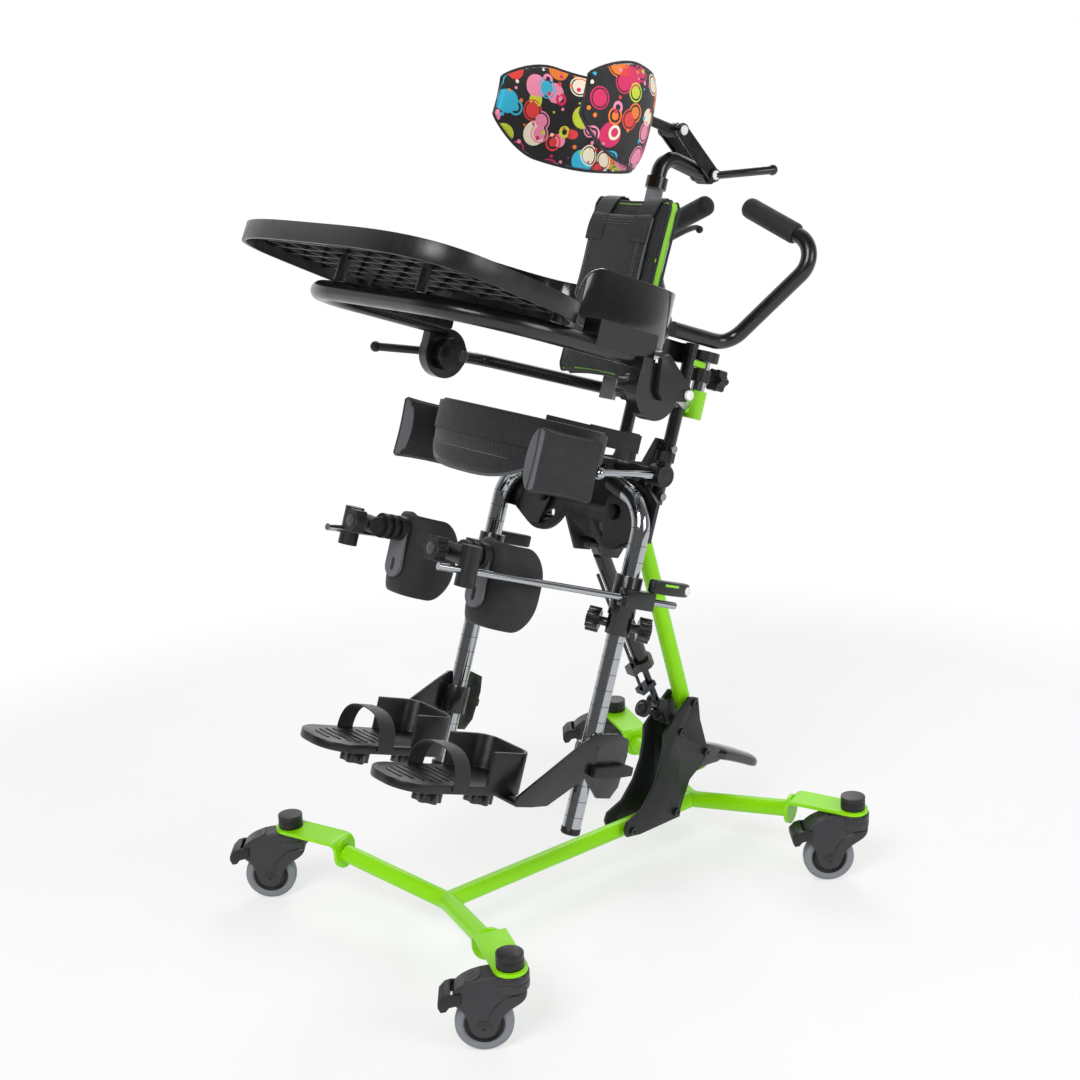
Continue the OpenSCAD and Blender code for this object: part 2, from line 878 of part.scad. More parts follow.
module pivot_plates() {
    color(black) base() difference() {
        union() {
            both() slab_x(plate_x, plate_x + plate_t) plate_outline();
            rod([-plate_x - run, cross_y, cross_z], [plate_x + run, cross_y, cross_z], cross_r);
            for (s = [2, 3]) let (b = plate_bolt(plate_bolt_shares[s])) both()
                rod([tube_r + seat, b.x, b.y], [plate_x + run, b.x, b.y], spacer_r);
            rod(cross_mid(), cross_mid() + plunger_dir() * plunger_sleeve_l, plunger_sleeve_r);
            both() rod([lug_gap, spring_foot_y, spring_foot_h],
                [lug_gap + lug_t, spring_foot_y, spring_foot_h],
                lug_r);
            both() along([lug_gap + lug_t / 2, cross_y, cross_z],
                [lug_gap + lug_t / 2, spring_foot_y, spring_foot_h])
                translate([-lug_neck / 2, -lug_neck_t / 2, 0])
                    cube([lug_neck, lug_neck_t, norm([cross_y - spring_foot_y, cross_z - spring_foot_h])]);
            rod([-lug_gap - run, spring_foot_y, spring_foot_h],
                [lug_gap + run, spring_foot_y, spring_foot_h],
                spring_pin_r);
        }
        for (s = plate_bolt_shares) let (b = plate_bolt(s)) both()
            rod([plate_x - over, b.x, b.y], [plate_x + plate_t + over, b.x, b.y], bolt_r + seat);
        rod(cross_mid() - plunger_dir() * (plunger_in / 2 + over),
            cross_mid() + plunger_dir() * (plunger_sleeve_l + over), plunger_r + run);
    }
}

module mast() {
    top_bolt = plate_bolt(plate_bolt_shares[0]);
    color(green) base() difference() {
        union() {
            difference() {
                rod(mast_foot, mast_top, tube_r);
                rod(mast_foot - over * unit(mast_top - mast_foot), mast_top, tube_r - tube_wall);
            }
            rod([-barrel_half, pivot_y, pivot_h], [barrel_half, pivot_y, pivot_h], barrel_r);
            both() {
                rod([tube_r - tube_wall, top_bolt.x, top_bolt.y], [tread_half, top_bolt.x, top_bolt.y],
                    spacer_r);
                rod([tube_r - tube_wall, tread_y, tread_z],
                    [tread_half - tread_ear_t - seat, tread_y, tread_z],
                    spacer_r);
                rod([tube_r - tube_wall, tread_y, tread_z], [tread_half, tread_y, tread_z],
                    tread_pin_r - run);
            }
        }
        rod([-barrel_half - over, pivot_y, pivot_h], [barrel_half + over, pivot_y, pivot_h], shaft_r + run);
    }
}

module base_hardware() {
    color(black) base() {
        for (sx = [-1, 1], sy = [-1, 1]) translate([sx * stem_x, sy * stem_y, tab_top]) difference() {
            cylinder(h = cap_h, r = cap_d / 2);
            translate([0, 0, -over]) cylinder(h = stem_engage + over, r = stem_r + seat);
        }
        for (s = plate_bolt_shares) let (b = plate_bolt(s)) both() {
            rod([plate_x + seat, b.x, b.y], [plate_x + plate_t + run, b.x, b.y], bolt_r);
            rod([plate_x + plate_t, b.x, b.y], [plate_x + plate_t + bolt_head_h, b.x, b.y], bolt_head_r);
        }
    }
}

// Casters, drawn with the stem at the origin and trailing along +X
module caster_housing() {
    color(grey) {
        translate([0, 0, hood_top - swivel_h]) cylinder(h = swivel_h, r = swivel_r);
        translate([0, 0, hood_top - over])
            cylinder(h = tab_t + seat + stem_engage + over - seat, r = stem_r);
        difference() {
            slab_y(-hood_half, hood_half) translate([0, hood_low])
                polygon(scaled(hood_outline_shares, hood_l, hood_top - hood_low));
            translate([trail, 0, wheel_r]) rotate([90, 0, 0])
                cylinder(h = wheel_w + hood_gap, r = wheel_r + hood_gap, center = true);
        }
        translate([trail, 0, wheel_r]) rotate([90, 0, 0])
            cylinder(h = 2 * hood_half, r = axle_r, center = true);
    }
}

module wheel_profile() {
    half = wheel_w / 2;
    core_r = wheel_r * core_share;
    translate([core_r, -half]) square([wheel_r - tyre_round - core_r, wheel_w]);
    translate([core_r, tyre_round - half]) square([wheel_r - core_r, wheel_w - 2 * tyre_round]);
    for (s = [-1, 1]) translate([wheel_r - tyre_round, s * (half - tyre_round)]) circle(r = tyre_round);
    translate([axle_r + run, core_recess - half]) square([core_r - axle_r - run, wheel_w - 2 * core_recess]);
    translate([axle_r + run, -half]) square([hub_r - axle_r - run, wheel_w]);
}

module caster_wheel() {
    color(grey) translate([trail, 0, wheel_r]) rotate([90, 0, 0]) rotate_extrude() wheel_profile();
}

module caster_pedal() {
    color(black) translate([pedal_pin_d, 0, pedal_pin_h]) {
        slab_y(-hood_half - seat - pedal_ear_t, hood_half + seat + pedal_ear_t)
            polygon(scaled(pedal_outline_shares, pedal_l, pedal_l));
        for (s = [-1, 1]) translate([0, s * (hood_half + seat + pedal_ear_t / 2), 0])
            slab_y(-pedal_ear_t / 2, pedal_ear_t / 2) polygon(scaled(pedal_ear_shares, pedal_l, pedal_l));
    }
}

// Foot pedal and lock plunger
module tilt_pedal() {
    color(black) base() difference() {
        translate([0, tread_y, tread_z]) {
            slab_x(-tread_half, tread_half) polygon(scaled(tread_outline_shares, tread_l, tread_h));
            both() slab_x(tread_half - tread_ear_t, tread_half)
                polygon(scaled(tread_ear_shares, tread_l, tread_h));
        }
        rod([-tread_half - over, tread_y, tread_z], [tread_half + over, tread_y, tread_z], tread_pin_r);
    }
}

module lock_plunger() {
    tip = cross_mid() - plunger_dir() * plunger_in / 2 + plunger_dir() * plunger_l;
    color(black) base() {
        rod(cross_mid() - plunger_dir() * plunger_in / 2, tip, plunger_r);
        rod(tip, tip + plunger_dir() * plunger_knob_h, plunger_knob_r);
        translate(tip + plunger_dir() * plunger_knob_h) sphere(r = plunger_knob_h);
    }
}

// Lift spring, drawn along +Z from its lower pin
module on_spring() {
    base() along(spring_foot, spring_eye) children();
}

module spring_rod() {
    color(chrome) on_spring() {
        difference() {
            union() {
                rotate([90, 0, 0]) cylinder(h = 2 * spring_eye_half, r = spring_eye_r, center = true);
                cylinder(h = spring_rod_top, r = spring_rod_r);
                translate([-spring_rod_r, -spring_eye_half, release_foot_s])
                    cube([release_off + 2 * spring_rod_r, 2 * spring_eye_half, release_block_h]);
                translate([release_off, 0, release_foot_s]) cylinder(h = release_l, r = release_r);
            }
            rotate([90, 0, 0])
                cylinder(h = 2 * spring_eye_half + 2 * over, r = spring_pin_r + run, center = true);
        }
    }
}

module spring_cylinder() {
    color(black) on_spring() difference() {
        union() {
            translate([0, 0, collar_s]) cylinder(h = spring_l - spring_eye_neck - collar_s, r = spring_r);
            translate([0, 0, collar_s]) cylinder(h = collar_h, r = collar_r);
            translate([0, -collar_r / 2, collar_s]) cube([release_off + collar_r / 2, collar_r, collar_h]);
            translate([0, 0, spring_l]) rotate([90, 0, 0])
                cylinder(h = 2 * spring_eye_half, r = spring_eye_r, center = true);
            translate([-spring_eye_half, -spring_eye_half, spring_l - spring_eye_neck - over])
                cube([2 * spring_eye_half, 2 * spring_eye_half, spring_eye_neck]);
        }
        translate([0, 0, collar_s - over]) cylinder(h = spring_bore_top - collar_s, r = spring_rod_r + run);
        translate([release_off, 0, collar_s - over]) cylinder(h = collar_h + 2 * over, r = release_r + seat);
        translate([0, 0, spring_l]) rotate([90, 0, 0])
            cylinder(h = 2 * spring_eye_half + 2 * over, r = spring_pin_r, center = true);
    }
}

// Hub of the tilting frame
module arc_slot() {
    translate([hub_pin_x, hub_pin_w]) {
        intersection() {
            difference() {
                circle(r = slot_r + slot_half);
                circle(r = slot_r - slot_half);
            }
            polygon([for (i = [-1 : slot_pieces])
                let (q = slot_from + (slot_to - slot_from) * i / slot_pieces)
                i < 0 ? [0, 0] : 2 * slot_r * [cos(q), sin(q)]]);
        }
        for (q = [slot_from, slot_to]) translate(slot_r * [cos(q), sin(q)]) circle(r = slot_half - seat);
    }
}

module hub_front() {
    difference() {
        union() {
            square([2 * hub_bar_w, hub_bar_h], center = true);
            for (s = [-1, 1]) translate([s * hub_pin_x, hub_pin_w]) circle(r = hub_plate_r);
        }
        arc_slot();
        mirror([1, 0]) arc_slot();
    }
}

module hub_plates() {
    pin_v = leg_plate_v - leg_plate_t - seat;
    color(black) tilted() difference() {
        union() {
            both() slab_x(cheek_x, cheek_x + cheek_t)
                polygon(scaled(cheek_outline_shares, cheek_l, cheek_h));
            slab_y(front_v - front_t, front_v) hub_front();
            rod([-cheek_x - cheek_t / 2, 0, 0], [cheek_x + cheek_t / 2, 0, 0], shaft_r);
            rod([-hip_bar_half, hip_bar_v, hip_bar_w], [hip_bar_half, hip_bar_v, hip_bar_w], hip_bar_r);
            both() {
                rod([hub_pin_x, front_v - front_t / 2, hub_pin_w],
                    [hub_pin_x, pin_v - hub_head_h / 2, hub_pin_w], hub_pin_r);
                rod([hub_pin_x, pin_v, hub_pin_w], [hub_pin_x, pin_v - hub_head_h, hub_pin_w], hub_head_r);
                rod([spring_boss_gap, spring_eye_v, spring_eye_w],
                    [cheek_x + cheek_t / 2, spring_eye_v, spring_eye_w], spring_boss_r);
                for (w = back_bolt_ws) rod([cheek_x + cheek_t / 2, 0, w],
                    [cheek_x + cheek_t + spacer_gap - seat, 0, w], spacer_r);
            }
        }
        for (w = back_bolt_ws) both()
            rod([cheek_x - over, 0, w], [back_x, 0, w], bolt_r + seat);
    }
}

module back_frame() {
    color(black) tilted() difference() {
        union() {
            both() {
                rod([back_x, 0, back_low], [back_x, 0, back_tube_top], back_r);
                rod([arm_x - arm_disc_t / 2, -tray_hinge_v, tray_hinge_h],
                    [arm_x + arm_disc_t / 2, -tray_hinge_v, tray_hinge_h], arm_disc_r);
            }
            translate([arm_x - arm_disc_t / 2 + run, -tray_hinge_v, tray_hinge_h]) rotate([0, -90, 0])
                star_knob(tray_knob_r, tray_knob_l);
            bent_rod([[arm_x, -tray_hinge_v, tray_hinge_h], [arm_x, arm_out_v, arm_h],
                [arm_in_x, arm_v, arm_h],
                [-arm_in_x, arm_v, arm_h], [-arm_x, arm_out_v, arm_h],
                    [-arm_x, -tray_hinge_v, tray_hinge_h]],
                arm_bend, arm_r);
            translate([-carrier_half, carrier_front, carrier_low])
                cube([2 * carrier_half, carrier_back - carrier_front, carrier_top - carrier_low]);
            translate([-back_x, -carrier_back, carrier_low])
                cube([2 * back_x, 2 * carrier_back, carrier_top - carrier_low]);
        }
        for (w = back_bolt_ws) both()
            rod([back_x - back_r - over, 0, w], [back_x + back_r + over, 0, w], bolt_r + seat);
        translate([-post_w / 2 - seat, post_v - post_t / 2 - seat, carrier_low - over])
            cube([post_w + 2 * seat, post_t + 2 * seat, carrier_top - carrier_low + 2 * over]);
    }
}

module frame_bolts() {
    color(black) tilted() both() for (w = back_bolt_ws) {
        rod([cheek_x + seat, 0, w], [back_x + back_r + seat, 0, w], bolt_r);
        rod([back_x + back_r + seat - run, 0, w], [back_x + back_r + seat + bolt_head_h, 0, w], bolt_head_r);
    }
}

function handle_tip() = handle_path[3];
function handle_back() = unit(handle_path[2] - handle_path[3]);
function flip(a) = [-a.x, a.y, a.z];
function lever_root() = flip(handle_path[2] - handle_back() * lever_clamp_s);
function lever_pin() = lever_root() - [0, tilt_lever_lean, tilt_lever_drop];

module push_handles() {
    clamp = lever_clamp_half * flip(handle_back());
    color(black) tilted() {
        both() bent_rod(handle_path, handle_bend, handle_r);
        rod(lever_root() - clamp, lever_root() + clamp, lever_clamp_r);
        rod(lever_root(), lever_pin() + unit(lever_root() - lever_pin()) * (tilt_lever_eye_r + seat),
            lever_lug_r);
    }
}

module handle_grips() {
    color(black) tilted() both() difference() {
        rod(handle_tip() - handle_back() * grip_end, handle_tip() + handle_back() * (grip_l - grip_end),
            grip_r);
        rod(handle_tip() - handle_back() * seat, handle_tip() + handle_back() * grip_l, handle_r + 2 * run);
    }
}

module tilt_lever() {
    tip = lever_pin() - flip(handle_back()) * tilt_lever_l;
    color(grey) tilted() {
        translate(lever_pin()) sphere(r = tilt_lever_eye_r);
        rod(lever_pin(), tip, tilt_lever_r);
        translate(tip) sphere(r = tilt_lever_ball_r);
    }
}

module post_sleeve() {
    star_w = post_collar_low + post_collar_h / 2;
    tilted() translate([back_x, sleeve_v, 0]) {
        color(green) translate([0, 0, sleeve_low]) cylinder(h = sleeve_top - sleeve_low, r = sleeve_r);
        color(green) translate([-sleeve_lug_w / 2, back_r + seat - sleeve_v, sleeve_low + sleeve_lug_inset])
            cube([sleeve_lug_w, sleeve_v - back_r - seat, sleeve_top - sleeve_low - 2 * sleeve_lug_inset]);
        color(chrome) translate([0, 0, sleeve_top]) cylinder(h = post_top - sleeve_top, r = post_r);
        color(black) translate([0, 0, post_collar_low]) cylinder(h = post_collar_h, r = post_collar_r);
        color(black) translate([0, 0, post_top]) cylinder(h = post_knob_h, r = post_knob_r);
        color(black) rod([0, 0, star_w], [0, post_collar_r + post_star_stem, star_w], post_r / 2);
        color(black) translate([0, post_collar_r + post_star_stem, star_w]) rotate([-90, 0, 0])
            star_knob(post_star_r, post_star_h);
    }
}

// Trunk shell and soft supports
module back_shell() {
    depth = shell_back - shell_front;
    outer = [for (i = [0 : shell_steps]) round_half(i / shell_steps, shell_half, depth, shell_power)];
    inner = [for (i = [0 : shell_steps]) round_half(i / shell_steps, shell_half - shell_t, depth - shell_t,
        shell_power)];
    color(black) tilted() translate([0, shell_front, shell_low]) linear_extrude(shell_top - shell_low)
        polygon(concat(outer, [for (i = [shell_steps : -1 : 0]) inner[i]]));
}

function pad_mid() = shell_back - shell_t - pad_gap - pad_t * (edge_share / 2 + back_crown_share);
function pad_face() = pad_mid() - pad_t * (edge_share / 2 + crown_share);
function vest_mid() = pad_face() - vest_gap - vest_t * (edge_share / 2 + back_crown_share);

module back_pad() {
    color("#c7ea2c") tilted() translate([0, pad_mid(), pad_low + pad_h / 2]) cushion(pad_w, pad_h, pad_t, 2);
}

module chest_vest() {
    strap_low = vest_low + vest_h * vest_strap_share;
    color(cloth) tilted() {
        translate([0, vest_mid(), vest_low + vest_h / 2]) cushion(vest_w, vest_h, vest_t, 1);
        both() translate([vest_strap_x - vest_strap_w / 2, vest_mid() - vest_strap_t / 2, strap_low])
            cube([vest_strap_w, vest_strap_t, pad_low + pad_h - vest_strap_w / 2 - strap_low]);
    }
}

module hip_belt() {
    half_l = (belt_back - belt_front) / 2;
    mid_v = (belt_back + belt_front) / 2;
    rings = [for (q = [0 : belt_steps - 1]) let (
        turn = 360 * q / belt_steps,
        here = [belt_half * signed_power(cos(turn), 2 / belt_power),
            half_l * signed_power(sin(turn), 2 / belt_power)],
        out = unit([cos(turn) / belt_half, sin(turn) / half_l]),
        swell = 1 + belt_swell_share * max(-sin(turn), 0))
        [for (s = pad_ring(belt_ring, belt_t * swell, belt_h, belt_section))
            [here.x + out.x * s.x, here.y + out.y * s.x, s.y]]];
    color(cloth) tilted() {
        translate([0, mid_v, belt_low + belt_h / 2]) loop_skin(rings);
        both() translate([back_x - belt_strap_t / 2, belt_back - belt_t / 2, belt_strap_w - belt_strap_h])
            cube([belt_strap_t, -back_r - seat - belt_back + belt_t / 2, belt_strap_h]);
    }
}

// Hip guides
module hip_guide(s) {
    color(chrome) tilted() side(s) {
        difference() {
            union() {
                rod([hip_rod_x - hip_block_half, hip_bar_v, hip_bar_w],
                    [hip_rod_x + hip_block_half, hip_bar_v,
                    hip_bar_w], hip_block_r);
                rod([hip_rod_x, hip_bar_v, hip_bar_w], hip_ball, hip_rod_r);
                translate(hip_ball) sphere(r = hip_ball_r);
                translate([hip_rod_x, hip_bar_v, hip_bar_w])
                    cylinder(h = hip_knob_w + hip_knob_h, r = hip_stem_r);
                translate([hip_rod_x, hip_bar_v, hip_bar_w + hip_knob_w]) star_knob(hip_knob_r, hip_knob_h);
            }
            rod([hip_rod_x - hip_block_half - over, hip_bar_v, hip_bar_w],
                [hip_rod_x + hip_block_half + over, hip_bar_v, hip_bar_w], hip_bar_r + run);
        }
    }
}

module hip_pad(s) {
    color(cloth) tilted() side(s) translate([hip_x + hip_t / 2, hip_v + hip_l / 2, hip_low + hip_h / 2])
        rotate(-90) cushion(hip_l, hip_h, hip_t, 0);
}

// Tray
module on_tray() {
    tilted() translate([0, tray_rear_v, tray_rear_w]) rotate([-tray_slope, 0, 0]) children();
}

module tray_outline(inset) {
    difference() {
        translate([0, -tray_l / 2]) polygon(round_whole(tray_steps, tray_w / 2 - inset, tray_l / 2 - inset,
            tray_power));
        translate([0, tray_cut_r - tray_cut_depth]) circle(r = tray_cut_r + inset);
    }
}

// Top of the tray tube under the tray, in the tray's own frame
function tray_under(v) = let (
    low = tray_tube_h - tray_rear_w,
    back = (v + low * sin(tray_slope)) / cos(tray_slope))
    back * sin(tray_slope) + low * cos(tray_slope) + tray_r / cos(tray_slope) + tray_boss_gap;

module tray() {
    color(black) on_tray() {
        for (s = tray_boss_shares) both()
            translate([s.x * tray_w / 2, -s.y * tray_l, tray_under(-s.y * tray_l)])
            cylinder(h = tray_rim_h - tray_skin + run - tray_under(-s.y * tray_l), r = tray_boss_r);
        difference() {
            linear_extrude(tray_rim_h) tray_outline(0);
            translate([0, 0, -over]) linear_extrude(tray_rim_h - tray_skin + over) tray_outline(tray_rim_t);
        }
        translate([0, 0, tray_rim_h - tray_skin - tray_rib_h]) linear_extrude(tray_rib_h + run)
            intersection() {
            tray_outline(tray_rim_t / 2);
            union() {
                for (i = [1 : tray_ribs]) translate([tray_w * (i / (tray_ribs + 1) - 0.5), -tray_l / 2])
                    square([tray_rib_t, tray_l], center = true);
                for (i = [1 : tray_ribs]) translate([0, -tray_l * i / (tray_ribs + 1)])
                    square([tray_w, tray_rib_t], center = true);
            }
        }
    }
}

module tray_tube() {
    color(black) tilted() {
        bent_rod([[tray_leg_x, tray_leg_back, tray_tube_h], [tray_leg_x, tray_leg_front, tray_tube_h],
            [-tray_leg_x, tray_leg_front, tray_tube_h], [-tray_leg_x, tray_leg_back, tray_tube_h]],
            tray_bend, tray_r);
        both() {
            rod([disc_x, -tray_hinge_v, tray_hinge_h], [disc_x + disc_t, -tray_hinge_v, tray_hinge_h],
                tray_disc_d / 2);
            translate([disc_x + seat, tray_leg_back - tray_neck_l, tray_hinge_h])
                cube([disc_t - 2 * seat, tray_neck_l - tray_neck_in,
                    tray_tube_h - tray_hinge_h + tray_neck_in]);
            translate([tray_leg_x - block_half, tray_leg_back - block_l, tray_tube_h])
                cube([2 * block_half, block_l, tray_r + block_h]);
        }
    }
}

module tray_lever_l() {
    face = disc_x + disc_t + seat;
    color(black) tilted() translate([0, -tray_hinge_v, tray_hinge_h]) {
        slab_x(face, face + lever_t) polygon(scaled(lever_outline_shares, lever_l, lever_h));
        translate([face + lever_t, lever_l * lever_tip_shares.x, lever_h * lever_tip_shares.y])
            rotate([0, 90, 0])
            cylinder(h = lever_tip_h, r = lever_tip_r);
    }
}

module tray_lever_r() {
    face = disc_x + disc_t + seat;
    root = [-face - rod_lever_hub_h / 2, -tray_hinge_v, tray_hinge_h];
    color(black) tilted() {
        rod([-face, -tray_hinge_v, tray_hinge_h], [-face - rod_lever_hub_h, -tray_hinge_v, tray_hinge_h],
            rod_lever_hub_r);
        rod(root, rod_lever_end, rod_lever_r);
        translate(rod_lever_end) sphere(r = rod_lever_ball_r);
    }
}

// Headrest
module headrest_post() {
    color(grey) tilted() difference() {
        union() {
            translate([-post_w / 2, post_v - post_t / 2, post_low])
                cube([post_w, post_t, post_high - post_low]);
            translate([0, post_v, post_high - neck_foot_h]) cylinder(h = neck_foot_h, r = neck_foot_r);
            bent_rod(neck_path, neck_bend, neck_r);
            rod([-head_link_gap + seat, arm_pin_v, arm_pin_w], [head_link_gap - seat, arm_pin_v, arm_pin_w],
                head_barrel_r);
        }
        rod([-head_link_gap - over, arm_pin_v, arm_pin_w], [head_link_gap + over, arm_pin_v, arm_pin_w],
            head_pin_r + run);
    }
}

module headrest_arm() {
    outer = head_link_gap + head_link_t;
    middle_x = head_link_gap + head_link_t / 2;
    arm_pin = [arm_pin_v, arm_pin_w];
    head_pin = [head_pin_v, head_pin_w];
    color(black) tilted() {
        both() {
            for (p = [arm_pin, head_pin]) {
                rod([head_link_gap, p.x, p.y], [outer, p.x, p.y], head_link_h / 2);
                rod([outer - head_link_t / 2, p.x, p.y], [outer + head_bolt_h, p.x, p.y], head_bolt_r);
            }
            along([head_link_gap + head_link_t / 2, arm_pin_v, arm_pin_w],
                [head_link_gap + head_link_t / 2, head_pin_v, head_pin_w])
                translate([-head_link_h * link_waist_share / 2, -head_link_t / 2, 0])
                    cube([head_link_h * link_waist_share, head_link_t, norm(arm_pin - head_pin)]);
        }
        for (p = [arm_pin, head_pin])
            rod([-middle_x, p.x, p.y], [middle_x, p.x, p.y], head_pin_r);
        rod([outer + head_bolt_h / 2, arm_pin_v, arm_pin_w], head_lever_end, head_lever_r);
        translate(head_lever_end) sphere(r = head_lever_ball_r);
    }
}

module headrest_pad() {
    inner = head_w / 2 - head_t / 2;
    back = head_front + head_l;
    color("#d8264a") tilted() {
        translate([0, head_front, head_low + head_h / 2])
            skin(bent_pad(inner, head_l - head_t / 2, head_t, head_h, head_power, head_steps, head_ring,
                pad_section));
        translate([-head_plate_w / 2, back + seat, head_pin_w - head_plate_h / 2])
            cube([head_plate_w, head_plate_t, head_plate_h]);
        difference() {
            union() {
                rod([0, back + seat, head_pin_w], [0, head_pin_v, head_pin_w], head_stem_r);
                rod([-head_link_gap + seat, head_pin_v, head_pin_w],
                    [head_link_gap - seat, head_pin_v, head_pin_w],
                    head_eye_r);
            }
            rod([-head_link_gap - over, head_pin_v, head_pin_w],
                [head_link_gap + over, head_pin_v, head_pin_w],
                head_pin_r + run);
        }
    }
}

// Legs
function lock_at() = [hub_pin_x + slot_r * cos(lock_turn), hub_pin_w + slot_r * sin(lock_turn)];

module leg_tube(s) {
    lock = lock_at();
    color(chrome) tilted() side(s) difference() {
        union() {
            difference() {
                bent_rod([[leg_x, -leg_v, -leg_bottom], [leg_x, -leg_v, leg_bend_w],
                    [leg_end_x, -leg_v, leg_end_w]], leg_bend, leg_r);
                rod([leg_x, -leg_v, -leg_bottom - over], [leg_x, -leg_v, -leg_solid], leg_r - tube_wall);
            }
            slab_y(leg_plate_v - leg_plate_t, leg_plate_v) translate([hub_pin_x, hub_pin_w])
                polygon(scaled(leg_plate_shares, leg_plate_l, leg_plate_h));
            rod([lock.x, leg_plate_v - leg_plate_t, lock.y], [lock.x, front_v + seat + lock_knob_h, lock.y],
                lock_pin_r);
            translate([lock.x, front_v + seat + lock_knob_h, lock.y]) rotate([90, 0, 0])
                star_knob(lock_knob_r, lock_knob_h);
        }
        rod([hub_pin_x, leg_plate_v + over, hub_pin_w],
            [hub_pin_x, leg_plate_v - leg_plate_t - over, hub_pin_w],
            hub_pin_r + run);
    }
}

// Knee supports
module on_knee_rod() {
    translate([knee_rod_x, -leg_v, -knee_drop]) rotate(-knee_yaw) children();
}

module radial_knob(turn, w) {
    translate([leg_x, -leg_v, w]) rotate(turn) rotate([0, 90, 0]) {
        translate([0, 0, leg_r + tube_wall])
            cylinder(h = knob_out - leg_r - tube_wall + run, r = star_stem_r);
        translate([0, 0, knob_out]) star_knob(star_r, star_h);
    }
}

module knee_clamp(s) {
    low = -knee_drop - clamp_h / 2;
    color(black) tilted() side(s) difference() {
        union() {
            translate([leg_x, -leg_v, low]) cylinder(h = clamp_h, r = clamp_r);
            translate([leg_x, -leg_v, low - collar_low_h])
                cylinder(h = collar_low_h + run, r = collar_low_r);
            on_knee_rod() cube([knee_block, knee_block_l, knee_block_h], center = true);
            for (t = knob_turns) radial_knob(t, low - collar_low_h / 2);
        }
        translate([leg_x, -leg_v, low - collar_low_h - over])
            cylinder(h = clamp_h + collar_low_h + 2 * over, r = leg_r + run);
        on_knee_rod() rotate([90, 0, 0])
            cylinder(h = knee_block_l + 2 * clamp_r, r = knee_rod_d / 2 + run, center = true);
    }
}

module knee_lever(s) {
    color(black) tilted() side(s)
        translate([knee_lever_x, knee_lever_v, -knee_drop + knee_block_h / 2 + seat]) rotate(90)
            linear_extrude(knee_lever_t) polygon(scaled(knee_lever_shares, knee_lever_l, knee_lever_h));
}

module knee_rod(s) {
    arm_w = carriage_arm_rise - knee_drop;
    knob_foot = carriage_arm_r + knee_star_stem;
    color(chrome) tilted() side(s) {
        on_knee_rod() rotate([90, 0, 0]) translate([0, 0, -knee_rod_back])
            cylinder(h = knee_rod_back + knee_rod_front, r = knee_rod_d / 2);
        translate([carriage_x, carriage_v, -knee_drop - carriage_drop])
            cylinder(h = carriage_h, r = carriage_r);
        rod([knee_x - carriage_arm_out, carriage_v, arm_w], [carriage_x, carriage_v, arm_w], carriage_arm_r);
        translate([knee_x, carriage_v, arm_w]) rotate([90, 0, 0]) {
            cylinder(h = knob_foot + run, r = star_stem_r);
            translate([0, 0, knob_foot]) star_knob(star_r, star_h);
        }
    }
}

module oval_outline() {
    square([oval_w, oval_h - oval_w], center = true);
    for (s = [-1, 1]) translate([0, s * (oval_h - oval_w) / 2]) circle(r = oval_w / 2);
}

module oval_slot(v) {
    translate([0, v]) {
        square([oval_slot_w, oval_slot_h - oval_slot_w], center = true);
        for (s = [-1, 1]) translate([0, s * (oval_slot_h - oval_slot_w) / 2]) circle(r = oval_slot_w / 2);
    }
}

module knee_pad(s) {
    plate_v = carriage_v + carriage_arm_r + seat + bellows_l;
    bellows_w = carriage_arm_rise - knee_drop - knee_cup_w;
    cup_v = plate_v + oval_t + seat;
    ring_l = bellows_l / (2 * bellows_rings);
    color(cloth) tilted() side(s) translate([knee_x, 0, knee_cup_w]) {
        translate([0, cup_v + knee_cup_l, 0]) rotate(180)
            skin(bent_pad(knee_w / 2 - knee_cup_t / 2, knee_cup_l - knee_cup_t / 2, knee_cup_t, knee_h,
                knee_power, knee_steps, knee_ring, pad_section));
        translate([0, 0, oval_rise]) slab_y(plate_v, plate_v + oval_t) difference() {
            oval_outline();
            oval_slot(-oval_slot_off);
        }
        translate([0, plate_v, bellows_w]) rotate([90, 0, 0]) for (i = [0 : bellows_rings - 1]) {
            translate([0, 0, 2 * i * ring_l - run]) cylinder(h = ring_l + run, r = bellows_r);
            translate([0, 0, (2 * i + 1) * ring_l - run]) cylinder(h = ring_l + run, r = bellows_neck_r);
        }
    }
}

// Foot supports
module foot_bracket(s) {
    color(grey) tilted() side(s) difference() {
        union() {
            translate([leg_x, -leg_v, -foot_drop - bracket_h / 2]) cylinder(h = bracket_h, r = bracket_r);
            slab_x(bracket_x, bracket_x + bracket_t) translate([bracket_front, bracket_top]) mirror([0, 1])
                polygon(scaled(bracket_shares, bracket_l, bracket_drop));
            translate([flange_x, flange_v, flange_top - flange_t]) cube([flange_w, flange_l, flange_t]);
            translate([flange_x, flange_arm_v, flange_top - flange_t])
                cube([bracket_x + bracket_t - flange_x, flange_arm_l, flange_t]);
            translate([foot_x, foot_pin_v, flange_top - flange_t])
                cylinder(h = flange_t + foot_pin_depth - seat, r = foot_pin_r);
            for (v = foot_knob_vs) translate([foot_x, v,
                flange_top - flange_t - foot_knob_gap - foot_knob_h]) {
                star_knob(foot_knob_r, foot_knob_h);
                cylinder(h = foot_knob_h + foot_knob_gap + run, r = foot_stem_r);
            }
        }
        translate([leg_x, -leg_v, -foot_drop - bracket_h / 2 - over])
            cylinder(h = bracket_h + 2 * over, r = leg_r + run);
    }
}

module foot_lever(s) {
    face = leg_x + bracket_r + seat;
    color(black) tilted() side(s) slab_x(face, face + foot_lever_t) translate([-leg_v, foot_lever_w])
        polygon(scaled(knee_lever_shares, foot_lever_l, foot_lever_h));
}

